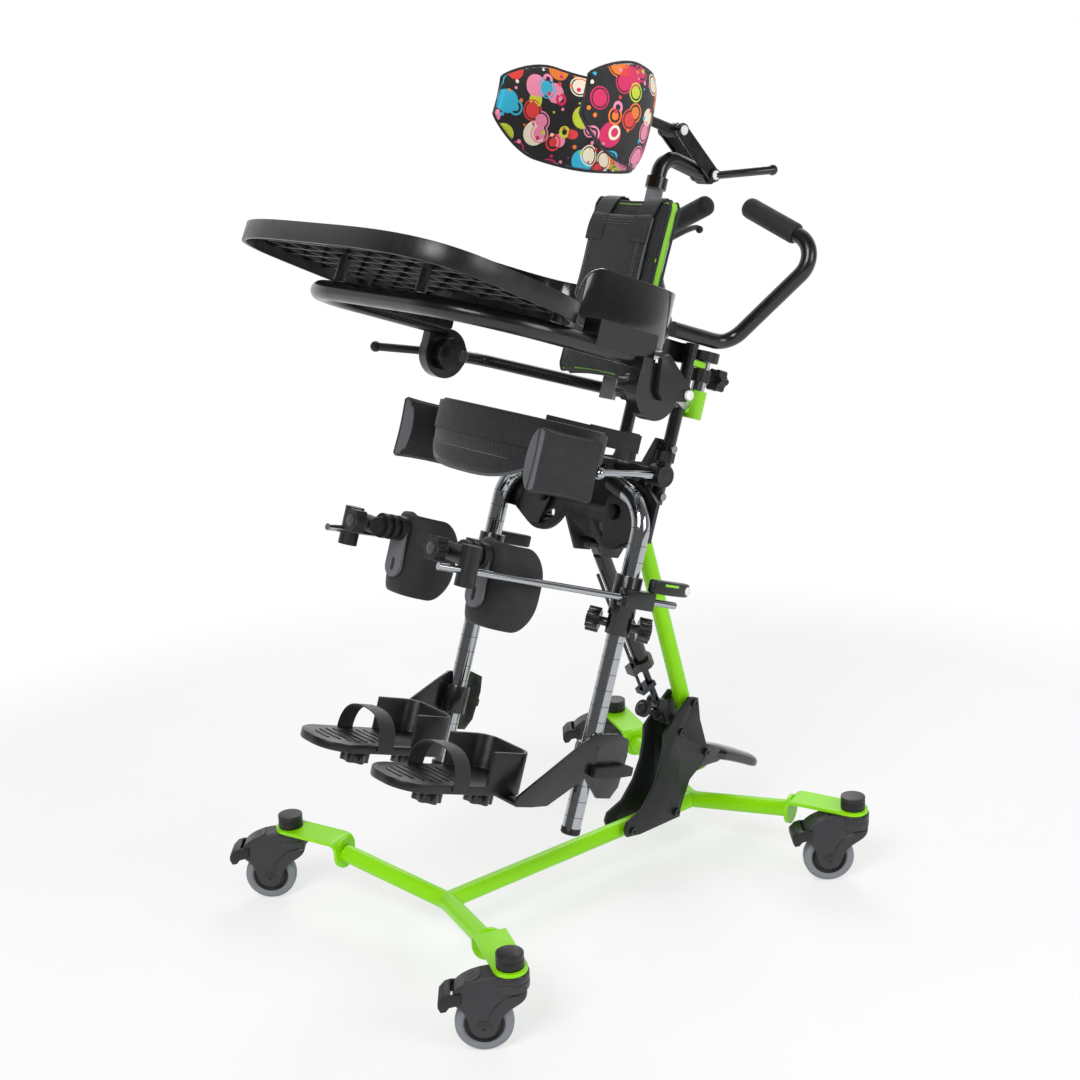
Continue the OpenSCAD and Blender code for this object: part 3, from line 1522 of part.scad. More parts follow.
// Outline of a footplate with its middle on x = 0, from the toe at y = 0 to the heel
module foot_outline(inset) {
    half = foot_w / 2 - inset;
    heel = foot_l - inset;
    toe = toe_round - inset;
    back = heel_round - inset;
    for (s = [-1, 1]) {
        translate([s * (half - toe), toe_round]) circle(r = toe);
        translate([s * (half - back), foot_l - heel_round]) circle(r = back);
    }
    translate([toe - half, inset]) square([2 * (half - toe), toe_round]);
    translate([-half, toe_round]) square([2 * half, foot_l - toe_round - heel_round]);
    translate([back - half, toe_round]) square([2 * (half - back), heel - toe_round]);
}

module footplate(s) {
    color(grey) tilted() side(s) translate([foot_x, toe_v, -sole_drop - sole_t]) difference() {
        union() {
            linear_extrude(sole_t) foot_outline(0);
            linear_extrude(sole_t + heel_h) difference() {
                foot_outline(0);
                foot_outline(heel_t);
                translate([-foot_w, -over]) square([2 * foot_w, foot_l * (1 - heel_share) + over]);
            }
        }
        translate([0, foot_pin_v - toe_v, -over]) cylinder(h = foot_pin_depth + over, r = foot_pin_r + run);
    }
}

module foot_strap(s) {
    outer = [for (i = [0 : strap_steps]) round_half(i / strap_steps, strap_half, strap_rise, strap_power)];
    inner = [for (i = [0 : strap_steps])
        round_half(i / strap_steps, strap_half - strap_t, strap_rise - strap_t,
        strap_power)];
    color(cloth) tilted() side(s) translate([foot_x, 0, -sole_drop - strap_drop])
        slab_y(strap_v - strap_w / 2, strap_v + strap_w / 2)
            polygon(concat(outer, [for (i = [strap_steps : -1 : 0]) inner[i]]));
}

base_frame();
pivot_plates();
mast();
base_hardware();
caster_at(1, -1) caster_housing();  // caster_housing_fl
caster_at(1, -1) caster_wheel();  // caster_wheel_fl
caster_at(1, -1) caster_pedal();  // caster_pedal_fl
caster_at(-1, -1) caster_housing();  // caster_housing_fr
caster_at(-1, -1) caster_wheel();  // caster_wheel_fr
caster_at(-1, -1) caster_pedal();  // caster_pedal_fr
caster_at(1, 1) caster_housing();  // caster_housing_rl
caster_at(1, 1) caster_wheel();  // caster_wheel_rl
caster_at(1, 1) caster_pedal();  // caster_pedal_rl
caster_at(-1, 1) caster_housing();  // caster_housing_rr
caster_at(-1, 1) caster_wheel();  // caster_wheel_rr
caster_at(-1, 1) caster_pedal();  // caster_pedal_rr
tilt_pedal();
lock_plunger();
spring_rod();
spring_cylinder();
hub_plates();
back_frame();
frame_bolts();
push_handles();
handle_grips();
tilt_lever();
post_sleeve();
back_shell();
back_pad();
chest_vest();
hip_belt();
hip_guide(1);  // hip_guide_l
hip_pad(1);  // hip_pad_l
hip_guide(-1);  // hip_guide_r
hip_pad(-1);  // hip_pad_r
tray_tube();
tray();
tray_lever_l();
tray_lever_r();
headrest_post();
headrest_arm();
headrest_pad();
leg_tube(1);  // leg_tube_l
knee_clamp(1);  // knee_clamp_l
knee_lever(1);  // knee_lever_l
knee_rod(1);  // knee_rod_l
knee_pad(1);  // knee_pad_l
foot_bracket(1);  // foot_bracket_l
foot_lever(1);  // foot_lever_l
footplate(1);  // footplate_l
foot_strap(1);  // foot_strap_l
leg_tube(-1);  // leg_tube_r
knee_clamp(-1);  // knee_clamp_r
knee_lever(-1);  // knee_lever_r
knee_rod(-1);  // knee_rod_r
knee_pad(-1);  // knee_pad_r
foot_bracket(-1);  // foot_bracket_r
foot_lever(-1);  // foot_lever_r
footplate(-1);  // footplate_r
foot_strap(-1);  // foot_strap_r
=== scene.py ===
"""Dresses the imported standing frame: finishes, soft pieces, trim, floor, light and camera."""
import logging
from collections.abc import Callable, Iterable, Sequence
from dataclasses import dataclass, replace
from enum import Enum
from math import copysign, cos, pi, radians, sin, tau

import bmesh
import bpy
import numpy as np
from mathutils import Matrix, Vector
from mathutils.geometry import interpolate_bezier


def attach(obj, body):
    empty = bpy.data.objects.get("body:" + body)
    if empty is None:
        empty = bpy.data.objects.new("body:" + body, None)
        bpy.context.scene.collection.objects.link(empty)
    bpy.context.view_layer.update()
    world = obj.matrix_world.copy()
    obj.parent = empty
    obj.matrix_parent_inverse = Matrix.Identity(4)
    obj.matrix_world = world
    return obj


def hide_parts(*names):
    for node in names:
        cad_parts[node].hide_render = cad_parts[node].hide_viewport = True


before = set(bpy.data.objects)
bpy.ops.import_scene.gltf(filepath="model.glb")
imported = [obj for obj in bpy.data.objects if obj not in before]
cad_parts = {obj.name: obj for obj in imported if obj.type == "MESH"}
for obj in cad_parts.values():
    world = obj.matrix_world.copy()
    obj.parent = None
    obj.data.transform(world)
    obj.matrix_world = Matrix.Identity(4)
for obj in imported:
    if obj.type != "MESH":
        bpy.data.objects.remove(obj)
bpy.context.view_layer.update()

LOG = logging.getLogger("standing_frame")
MM = 0.001
LEAN = radians(19.5)
Flat = tuple[float, float]
Point = tuple[float, float, float]
Outline = tuple[Flat, ...]
Shape = bmesh.types.BMesh
Tree = bpy.types.NodeTree
Socket = bpy.types.NodeSocket
Test = Callable[[Vector, Vector], bool]

# The base's own millimetres, and the leaning support's millimetres, both into the row frame
BASE = Matrix.Translation((0.0218, -0.0048, 0.0)) @ Matrix.Scale(MM, 4)
SUPPORT = BASE @ Matrix.Translation((0.0, 136.0, 569.0)) @ Matrix.Rotation(-LEAN, 4, "X")
SIDES = ((1, "l"), (-1, "r"))
BOTH = (1, -1)
# Each caster's letters and sides, and where the stems stand
CASTERS = (("fl", 1, -1), ("fr", -1, -1), ("rl", 1, 1), ("rr", -1, 1))
STEM_X, STEM_Y = 263.0, 320.0
ALONG, UP = Vector((0, 1, 0)), Vector((0, 0, 1))
LEVEL = Matrix.Identity(4)
# Stands an outline of depth and height up, with its thickness across the object
ACROSS = Matrix(((0, 0, 1, 0), (1, 0, 0, 0), (0, 1, 0, 0), (0, 0, 0, 1)))
# Sizes that every finish shares: the slow drift of colour and of gloss, the edge radius and the ring's line
DRIFT_MM, PATCH_MM, EDGE_MM, LINE_MM = 45.0, 14.0, 0.9, 0.9
RING_INK = "#5c5e62"


def linear(code: str) -> tuple[float, float, float, float]:
    """Turns an sRGB hex colour to linear light.

    Args:
        code: six hex digits after a hash.

    Returns:
        Red, green, blue and an alpha of one.
    """
    parts = [int(code[i:i + 2], 16) / 255 for i in (1, 3, 5)]
    return (*[p / 12.92 if p <= 0.04045 else ((p + 0.055) / 1.055) ** 2.4 for p in parts], 1.0)


def add(tree: Tree, kind: str, links: dict | None = None, **settings) -> bpy.types.Node:
    """Adds a node with its settings and links.

    Args:
        tree: the node tree.
        kind: the node's type name.
        links: input name or number to a socket that feeds it or a value that it keeps.
        settings: the node's own properties.

    Returns:
        The new node.
    """
    made = tree.nodes.new(kind)
    for key, value in settings.items():
        setattr(made, key, value)
    for key, value in (links or {}).items():
        if isinstance(value, Socket):
            tree.links.new(value, made.inputs[key])
        else:
            made.inputs[key].default_value = value
    return made


class Surface(Enum):
    """How a surface was made, which gives its relief."""

    POWDER = "sprayed powder, melted to a fine orange peel"
    MOULDED = "moulded against a spark-eroded tool"
    POLISHED = "polished and plated"
    ROLLED = "rolled or turned metal"
    SKINNED = "moulded foam with a pored skin"
    WOVEN = "plain weave of thick yarn"
    PRINTED = "knitted cloth with a printed pattern"


@dataclass(frozen=True)
class Finish:
    """One finish: what the material is, its colours and its relief.

    size_mm is the real size of its grain or thread, and depth_mm the height of that relief.
    """

    name: str
    surface: Surface
    colour: str
    second: str
    roughness: float
    size_mm: float
    depth_mm: float
    metallic: float = 0.0
    ior: float = 1.5
    coat: float = 0.0
    sheen: float = 0.0
    # The colour of a painted highlight, laid in patches along sharp edges
    edge_highlight: str = ""
    ring_mm: float = 0.0

    def relief(self, tree: Tree, at: Socket) -> Socket:
        """Builds the height of the surface's grain.

        Args:
            tree: the material's node tree.
            at: the place on the piece, in metres.

        Returns:
            A height from 0 to 1.
        """
        per_metre = 1000 / self.size_mm
        if self.surface in (Surface.WOVEN, Surface.PRINTED):
            # A wave's period is tau / 20 of its scale; one set runs up the cloth and one runs round it
            scale = per_metre * tau / 20
            turn = add(tree, "ShaderNodeMapping", {"Vector": at, "Rotation": (0, 0, pi / 4)})
            round_it = add(tree, "ShaderNodeTexWave", {"Vector": turn.outputs[0], "Scale": scale / 1.414},
                           bands_direction="X")
            up_it = add(tree, "ShaderNodeTexWave", {"Vector": at, "Scale": scale}, bands_direction="Z")
            return add(tree, "ShaderNodeMath", {0: round_it.outputs["Fac"], 1: up_it.outputs["Fac"]},
                       operation="MULTIPLY").outputs[0]
        if self.surface in (Surface.MOULDED, Surface.SKINNED):
            return add(tree, "ShaderNodeTexVoronoi", {"Vector": at, "Scale": per_metre},
                       feature="SMOOTH_F1").outputs["Distance"]
        stretch = (1, 1, 0.06) if self.surface is Surface.ROLLED else (1, 1, 1)
        drawn = add(tree, "ShaderNodeMapping", {"Vector": at, "Scale": stretch})
        return add(tree, "ShaderNodeTexNoise", {"Vector": drawn.outputs[0], "Scale": per_metre,
                                                "Detail": 3.0}).outputs[0]

    def colours(self, tree: Tree, at: Socket, height: Socket) -> Socket:
        """Builds the colour, with its slow change over the piece.

        Args:
            tree: the material's node tree.
            at: the place on the piece, in metres.
            height: the relief's height.

        Returns:
            The colour.
        """
        slow = add(tree, "ShaderNodeTexNoise", {"Vector": at, "Scale": 1000 / DRIFT_MM,
                                                "Detail": 4.0}).outputs[0]
        part = add(tree, "ShaderNodeMath", {0: slow, 1: height}, operation="MULTIPLY").outputs[0]
        return self.mix(tree, part, self.colour, self.second)

    @staticmethod
    def mix(tree: Tree, part: Socket, low: str | Socket, high: str | Socket) -> Socket:
        """Mixes two colours.

        Args:
            tree: the material's node tree.
            part: the share of the second colour.
            low: the first colour, as hex or a socket.
            high: the second colour, as hex or a socket.

        Returns:
            The mixed colour.
        """
        pair = [linear(c) if isinstance(c, str) else c for c in (low, high)]
        return add(tree, "ShaderNodeMix", {0: part, 6: pair[0], 7: pair[1]}, data_type="RGBA").outputs[2]

    def material(self) -> bpy.types.Material:
        """Returns the finish's material, made once."""
        made = bpy.data.materials.get(self.name)
        if made:
            return made
        made = bpy.data.materials.new(self.name)
        made.use_nodes = True
        tree = made.node_tree
        tree.nodes.clear()
        place = add(tree, "ShaderNodeTexCoord").outputs["Object"]
        at = add(tree, "ShaderNodeMapping", {"Vector": place, "Rotation": (LEAN, 0, 0)}).outputs[0]
        height = self.relief(tree, at)
        colour = self.colours(tree, at, height)
        uneven = add(tree, "ShaderNodeTexNoise", {"Vector": at, "Scale": 1000 / PATCH_MM,
                                                  "Detail": 3.0}).outputs[0]
        least, most = max(self.roughness - 0.06, 0.03), self.roughness + 0.06
        rough = add(tree, "ShaderNodeMapRange", {0: uneven, 1: 0.3, 2: 0.7, 3: least, 4: most}).outputs[0]
        hard = self.surface in (Surface.POWDER, Surface.MOULDED, Surface.ROLLED)
        face = add(tree, "ShaderNodeNewGeometry").outputs["Normal"]
        soft = face
        if hard:
            soft = add(tree, "ShaderNodeBevel", {"Radius": EDGE_MM * MM}, samples=4).outputs[0]
        # Painted highlight: sharp edges, found from the bevelled normal, take a lighter colour in patches
        if self.edge_highlight:
            flat = add(tree, "ShaderNodeVectorMath", {0: soft, 1: face},
                       operation="DOT_PRODUCT").outputs["Value"]
            edge = add(tree, "ShaderNodeMapRange", {0: flat, 1: 0.95, 2: 0.75, 3: 0.0, 4: 0.7}).outputs[0]
            painted_highlight = add(tree, "ShaderNodeMath", {0: edge, 1: uneven}, operation="MULTIPLY").outputs[0]
            colour = self.mix(tree, painted_highlight, colour, self.edge_highlight)
        if self.ring_mm:
            along = add(tree, "ShaderNodeSeparateXYZ", {0: at}).outputs[2]
            step = add(tree, "ShaderNodeMath", {0: along, 1: self.ring_mm * MM},
                       operation="FLOORED_MODULO").outputs[0]
            line = add(tree, "ShaderNodeMath", {0: step, 1: LINE_MM * MM}, operation="LESS_THAN").outputs[0]
            colour = self.mix(tree, line, colour, RING_INK)
            rough = add(tree, "ShaderNodeMath", {0: line, 1: 0.4, 2: rough},
                        operation="MULTIPLY_ADD").outputs[0]
        bump = add(tree, "ShaderNodeBump", {"Height": height, "Distance": self.depth_mm * MM,
                                            "Strength": 1.0, "Normal": soft}).outputs[0]
        shader = add(tree, "ShaderNodeBsdfPrincipled", {
            "Base Color": colour, "Roughness": rough, "Normal": bump, "Metallic": self.metallic,
            "IOR": self.ior, "Coat Weight": self.coat, "Coat Roughness": 0.12, "Sheen Weight": self.sheen,
            "Sheen Roughness": 0.5})
        add(tree, "ShaderNodeOutputMaterial", {0: shader.outputs[0]})
        return made


@dataclass(frozen=True)
class Print(Finish):
    """Cloth printed with plain dots and rings of many colours on black.

    layers gives each set of dots: its size as a share of dot_mm, and the inner and outer radius of its ink.
    """

    inks: tuple[str, ...] = ("#d81b60", "#e53935", "#c6d92c", "#29b6d8", "#f48fb1", "#f6ead0", "#ef7d22")
    dot_mm: float = 30.0
    layers: tuple[Point, ...] = ((1.3, 0.0, 0.42), (1.0, 0.0, 0.36), (1.0, 0.42, 0.48), (0.45, 0.0, 0.22))

    def colours(self, tree: Tree, at: Socket, height: Socket) -> Socket:
        """Builds the dots, rings and specks.

        Args:
            tree: the material's node tree.
            at: the place on the piece, in metres.
            height: the relief's height.

        Returns:
            The colour.
        """
        colour = Finish.colours(self, tree, at, height)
        for share, low, high in self.layers:
            cells = add(tree, "ShaderNodeTexVoronoi", {"Vector": at, "Scale": 1000 / self.dot_mm / share,
                                                       "Randomness": 0.75})
            away = cells.outputs["Distance"]
            far = add(tree, "ShaderNodeMath", {0: away, 1: low}, operation="GREATER_THAN")
            near = add(tree, "ShaderNodeMath", {0: away, 1: high}, operation="LESS_THAN")
            inked = add(tree, "ShaderNodeMath", {0: far.outputs[0], 1: near.outputs[0]},
                        operation="MULTIPLY")
            draw = add(tree, "ShaderNodeSeparateColor", {0: cells.outputs["Color"]}).outputs[0]
            ramp = add(tree, "ShaderNodeValToRGB", {0: draw})
            ramp.color_ramp.interpolation = "CONSTANT"
            stops = ramp.color_ramp.elements
            for i, ink in enumerate(self.inks):
                stop = stops.new(i / len(self.inks)) if i else stops[0]
                stop.color = linear(ink)
            colour = self.mix(tree, inked.outputs[0], colour, ramp.outputs[0])
        return colour


# A finish's last colour, where given, is a painted highlight along its sharp edges
# Powder-coated steel: even colour under a soft gloss, with a fine orange peel
GREEN = Finish("lime_powder_coat", Surface.POWDER, "#95e600", "#8adc00", 0.36, 2.4, 0.004, ior=1.38,
               edge_highlight="#a4ec2c")
BLACK = Finish("black_powder_coat", Surface.POWDER, "#0c0d0e", "#141517", 0.28, 1.6, 0.006, coat=0.3,
               edge_highlight="#3a3b3e")
CHARCOAL = Finish("charcoal_texture_coat", Surface.POWDER, "#151618", "#1f2023", 0.46, 1.2, 0.018,
                  edge_highlight="#4a4b4f")
# Glass-filled nylon and ABS: matt, with the tool's grain
NYLON = Finish("black_nylon", Surface.MOULDED, "#121314", "#1c1d1f", 0.44, 1.1, 0.012, edge_highlight="#3b3c40")
HOUSING = Finish("grey_nylon", Surface.MOULDED, "#2b2a2e", "#363539", 0.4, 1.1, 0.012, edge_highlight="#5a5b60")
SHEET = Finish("black_tray_plastic", Surface.MOULDED, "#121314", "#1a1b1d", 0.34, 1.6, 0.014,
               edge_highlight="#45464a")
GLOSS = Finish("gloss_black_plastic", Surface.MOULDED, "#0e0e10", "#141517", 0.14, 3.0, 0.006, coat=0.6)
CAP = Finish("knob_cap_grey", Surface.MOULDED, "#3c3e42", "#4a4c50", 0.4, 0.9, 0.02)
WHITE = Finish("white_plastic_cap", Surface.MOULDED, "#e9e9e6", "#dcdcd8", 0.35, 1.0, 0.015)
LIME = Finish("lime_plastic", Surface.MOULDED, "#8fdc1e", "#7ccc14", 0.32, 1.0, 0.015)
PALE = Finish("grey_slotted_plastic", Surface.MOULDED, "#5e6064", "#6a6c70", 0.4, 0.9, 0.02)
# Thermoplastic rubber tyre: dull grey, scuffed on its tread
TYRE = Finish("grey_tyre_rubber", Surface.SKINNED, "#7d8085", "#8b8e93", 0.62, 1.6, 0.05)
# Plated steel: bright, with faint drawing lines; the legs carry ring marks, and the spring's rod is dark
CHROME = Finish("chromed_steel", Surface.POLISHED, "#b4b7bb", "#a2a5a9", 0.08, 9.0, 0.002, metallic=1.0)
RINGED = replace(CHROME, name="ring_marked_chrome", ring_mm=22.0)
NITRIDED = Finish("nitrided_spring_steel", Surface.POLISHED, "#3c3e42", "#484a4e", 0.2, 6.0, 0.002,
                  metallic=1.0)
ZINC = Finish("zinc_plated_steel", Surface.ROLLED, "#8d9094", "#a3a6aa", 0.3, 1.2, 0.01, metallic=1.0)
# Foam with its own moulded skin; pores drawn coarser than real so that they show
FOAM = Finish("skinned_foam", Surface.SKINNED, "#18181b", "#232327", 0.74, 1.5, 0.1, sheen=0.15)
GREY_FOAM = Finish("grey_skinned_foam", Surface.SKINNED, "#55565a", "#626367", 0.72, 1.5, 0.1, sheen=0.15)
# Nylon webbing and padded cloth; yarn drawn at about twice its real size so that it shows
WEB = Finish("black_webbing", Surface.WOVEN, "#111113", "#2a2a2e", 0.72, 2.2, 0.22, sheen=0.25)
CLOTH = Finish("black_spacer_cloth", Surface.WOVEN, "#16161a", "#303036", 0.8, 2.6, 0.25, sheen=0.35)
GREY_CLOTH = Finish("grey_spacer_cloth", Surface.WOVEN, "#4a4b50", "#66686e", 0.82, 2.6, 0.22, sheen=0.35)
LIME_CLOTH = Finish("lime_gusset_cloth", Surface.WOVEN, "#84cf1c", "#a6e64a", 0.75, 2.2, 0.2, sheen=0.3)
DOTTED = Print("dotted_print_cloth", Surface.PRINTED, "#131216", "#1c1b20", 0.7, 1.8, 0.16, sheen=0.25)


def aim(at: Sequence[float], to: Sequence[float]) -> Matrix:
    """Places +Z along a direction.

    Args:
        at: the point, in millimetres.
        to: the direction.

    Returns:
        The place.
    """
    return Matrix.Translation(at) @ Vector(to).to_track_quat("Z", "Y").to_matrix().to_4x4()


def disc(radius: float, steps: int = 12) -> list[Flat]:
    """Returns a circle as a section of points."""
    return [(radius * cos(tau * i / steps), radius * sin(tau * i / steps)) for i in range(steps)]


def squared(turn: float, power: float) -> list[float]:
    """Returns a turn's cosine and sine, each raised to a power, which squares a circle off."""
    return [copysign(abs(t) ** power, t) for t in (cos(turn), sin(turn))]


def half_round(share: float, a: float, b: float, power: float) -> Flat:
    """Returns the point at a share of the way round half a superellipse."""
    c, s = cos(pi * share), max(sin(pi * share), 0.0)
    return (a * (1 if c >= 0 else -1) * abs(c) ** (2 / power), b * s ** (2 / power))


def rounded(a: float, b: float, power: float = 5.0, steps: int = 16) -> list[Flat]:
    """Returns a rectangle with rounded corners, of half sizes a and b."""
    upper = [half_round(i / steps, a, b, power) for i in range(steps)]
    return upper + [(-x, -y) for x, y in upper]


def webbing(half: float, thick: float, ease: float = 0.4) -> list[Flat]:
    """Returns a band's section, of a half width and a half thickness, with its edges broken."""
    flat, low = half - ease, thick - ease
    return [(-flat, -thick), (flat, -thick), (half, -low), (half, low), (flat, thick), (-flat, thick),
            (-half, low), (-half, -low)]


def smooth_loop(corners: Sequence[Flat], steps: int = 6) -> list[Flat]:
    """Rounds an outline's corners off.

    Args:
        corners: the points that the outline leans to.
        steps: points between one corner and the next.

    Returns:
        The closed outline's points.
    """
    p = [Vector(c) for c in corners]
    loop = []
    for i in range(len(p)):
        a, b, c, d = (p[(i + k) % len(p)] for k in (-1, 0, 1, 2))
        for t in (k / steps for k in range(steps)):
            at = (a * (1 - t) ** 3 + b * (3 * t ** 3 - 6 * t * t + 4)
                  + c * (3 * t * (1 + t - t * t) + 1) + d * t ** 3) / 6
            loop.append((at.x, at.y))
    return loop


def mirrored(profile: list[Flat]) -> list[Flat]:
    """Returns a closed profile from one half of it, which lies above a height of nought."""
    return profile + [(a, -b) for a, b in profile[::-1] if b] + profile[:1]


def end_ease(q: float, share: float, least: float) -> float:
    """Returns how narrow a padded strip is at a share q of its length, down to least at its tips."""
    part = min(q, 1 - q) / share
    return 1.0 if part >= 1 else least + (1 - least) * (1 - (1 - part) ** 2) ** 0.5


def join(shape: Shape, rings: Sequence[Sequence[bmesh.types.BMVert]], closed: bool = False) -> None:
    """Joins rings of points with faces.

    Args:
        shape: the mesh that grows.
        rings: the rings in order; a ring of one point closes to a tip.
        closed: whether the last ring joins the first.
    """
    for a, b in zip(rings, list(rings[1:]) + ([rings[0]] if closed else [])):
        count = max(len(a), len(b))
        for i in range(count):
            k = (i + 1) % count
            corners = list(dict.fromkeys((a[i % len(a)], a[k % len(a)], b[k % len(b)], b[i % len(b)])))
            if len(corners) > 2:
                shape.faces.new(corners)


def loft(shape: Shape, rings: Sequence[list[bmesh.types.BMVert]]) -> None:
    """Joins rings of points with faces and closes both ends.

    Args:
        shape: the mesh that grows.
        rings: the rings in order.
    """
    join(shape, rings)
    shape.faces.new(rings[0][::-1])
    shape.faces.new(rings[-1])


def lathe(shape: Shape, profile: Sequence[Flat], place: Matrix, steps: int = 28) -> None:
    """Turns a profile about the place's +Z.

    Args:
        shape: the mesh that grows.
        profile: radius and height at each point.
        place: where the axis stands.
        steps: faces round the axis.
    """
    rings = [[shape.verts.new(place @ Vector((r * cos(tau * i / steps), r * sin(tau * i / steps), z)))
              for i in range(steps if r > 1e-6 else 1)] for r, z in profile]
    join(shape, rings)


def sweep(shape: Shape, path: Sequence[Vector], section: Sequence[Flat], up: Vector,
          closed: bool = False) -> None:
    """Draws a section along a path.

    Args:
        shape: the mesh that grows.
        path: the path's points.
        section: points across it, as steps to the side and up.
        up: the direction that the section's second step leans to.
        closed: whether the path is a loop.
    """
    rings = []
    last = len(path) - 1
    for i, here in enumerate(path):
        back = path[i - 1] if i or closed else here
        ahead = path[(i + 1) % len(path)] if i < last or closed else here
        along = (ahead - back).normalized()
        side = along.cross(up).normalized()
        over = side.cross(along)
        rings.append([shape.verts.new(here + side * a + over * b) for a, b in section])
    if closed:
        join(shape, rings, True)
    else:
        loft(shape, rings)


def slab(shape: Shape, outline: Sequence[Flat], low: float, high: float, place: Matrix) -> None:
    """Extrudes an outline along the place's +Z.

    Args:
        shape: the mesh that grows.
        outline: the outline's points.
        low: where it starts.
        high: where it ends.
        place: where it stands.
    """
    loft(shape, [[shape.verts.new(place @ Vector((x, y, z))) for x, y in outline] for z in (low, high)])


def eased_slab(shape: Shape, outline: Sequence[Flat], low: float, high: float, ease: float,
               place: Matrix) -> None:
    """Extrudes a smooth outline along the place's +Z, with its rims rounded off.

    Args:
        shape: the mesh that grows.
        outline: the outline's points.
        low: where it starts.
        high: where it ends.
        ease: the rims' radius.
        place: where it stands.
    """
    points = [Vector(p) for p in outline]
    area = sum(a.cross(b) for a, b in zip(points, points[1:] + points[:1]))
    turn = 1 if area > 0 else -1
    inward = []
    for i in range(len(points)):
        along = (points[(i + 1) % len(points)] - points[i - 1]).normalized()
        inward.append(Vector((-along.y, along.x)) * turn)
    quarter = [(ease * (1 - sin(pi / 6 * k)), ease * (1 - cos(pi / 6 * k))) for k in range(4)]
    layers = [(o, low + h) for o, h in quarter] + [(o, high - h) for o, h in quarter[::-1]]
    loft(shape, [[shape.verts.new(place @ (p + n * o).to_3d() + place.to_3x3() @ Vector((0, 0, h)))
                  for p, n in zip(points, inward)] for o, h in layers])


def solids(node: str, place: Matrix = SUPPORT) -> list[Shape]:
    """Copies the separate solids of a CAD node.

    Args:
        node: the node's name.
        place: the frame whose millimetres the copies take.

    Returns:
        One mesh per solid, the largest first.
    """
    whole = bmesh.new()
    whole.from_mesh(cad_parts[node].data)
    bmesh.ops.remove_doubles(whole, verts=whole.verts, dist=1e-6)
    whole.transform(place.inverted())
    left = set(whole.verts)
    found = []
    while left:
        queue = [left.pop()]
        group = set(queue)
        while queue:
            for e in queue.pop().link_edges:
                for v in e.verts:
                    if v not in group:
                        group.add(v)
                        queue.append(v)
        left -= group
        part = bmesh.new()
        copy = {v: part.verts.new(v.co) for v in group}
        for f in {f for v in group for f in v.link_faces}:
            part.faces.new([copy[v] for v in f.verts])
        found.append(part)
    whole.free()
    return sorted(found, key=lambda s: -abs(s.calc_volume(signed=False)))


def merged(parts: Iterable[Shape]) -> Shape:
    """Joins several meshes.

    Args:
        parts: the meshes.

    Returns:
        One mesh with all their faces.
    """
    whole = bmesh.new()
    for part in parts:
        mesh = bpy.data.meshes.new("merged_part")
        part.to_mesh(mesh)
        whole.from_mesh(mesh)
    return whole


def span(shape: Shape) -> tuple[Vector, Vector]:
    """Returns a mesh's lowest and highest corners."""
    points = np.array([v.co for v in shape.verts])
    return Vector(points.min(0)), Vector(points.max(0))


def plump(shape: Shape, voxel_mm: float, rise_mm: float, held: Callable[[Vector], bool]) -> Shape:
    """Fills a pad with cloth pressure, from a slightly smaller start.

    Args:
        shape: the pad's solid, in millimetres.
        voxel_mm: the cloth's mesh size.
        rise_mm: the most that a point may move.
        held: which points stay, where the pad rests on something.

    Returns:
        The filled pad.
    """
    scene, steps = bpy.context.scene, 20
    shape.transform(Matrix.Scale(MM, 4))
    mesh = bpy.data.meshes.new("pad_start")
    shape.to_mesh(mesh)
    pad = bpy.data.objects.new("pad_start", mesh)
    scene.collection.objects.link(pad)
    grid = pad.modifiers.new("grid", "REMESH")
    grid.mode, grid.voxel_size = "VOXEL", voxel_mm * MM
    ease = pad.modifiers.new("ease", "SMOOTH")
    ease.factor, ease.iterations = 0.5, 4
    pad.data = bpy.data.meshes.new_from_object(pad.evaluated_get(bpy.context.evaluated_depsgraph_get()))
    pad.modifiers.clear()
    end = np.array([v.co for v in pad.data.vertices])
    loose = np.array([[0.0 if held(Vector(p) / MM) else 1.0] for p in end])
    start = end - np.array([v.normal for v in pad.data.vertices]) * loose * rise_mm * MM * 0.5
    pad.data.vertices.foreach_set("co", start.ravel())
    group = pad.vertex_groups.new(name="held")
    group.add(np.flatnonzero(loose[:, 0] == 0).tolist(), 1.0, "REPLACE")
    cloth = pad.modifiers.new("fill", "CLOTH")
    cloth.settings.quality = 4
    cloth.settings.use_pressure = True
    cloth.settings.uniform_pressure_force = 4.0
    cloth.settings.effector_weights.gravity = 0.0
    cloth.settings.tension_stiffness = cloth.settings.compression_stiffness = 12.0
    cloth.settings.vertex_group_mass = "held"
    cloth.point_cache.frame_start, cloth.point_cache.frame_end = 1, steps
    for step in range(1, steps + 1):
        scene.frame_set(step)
    filled = pad.evaluated_get(bpy.context.evaluated_depsgraph_get())
    move = np.array([v.co for v in filled.data.vertices]) - start
    far = np.maximum(np.linalg.norm(move, axis=1, keepdims=True), 1e-9)
    end = start + move * np.minimum(1, rise_mm * MM / far)
    pad.modifiers.clear()
    scene.frame_set(1)
    pad.data.vertices.foreach_set("co", end.ravel())
    result = bmesh.new()
    result.from_mesh(pad.data)
    result.transform(Matrix.Scale(1 / MM, 4))
    bpy.data.objects.remove(pad)
    return result


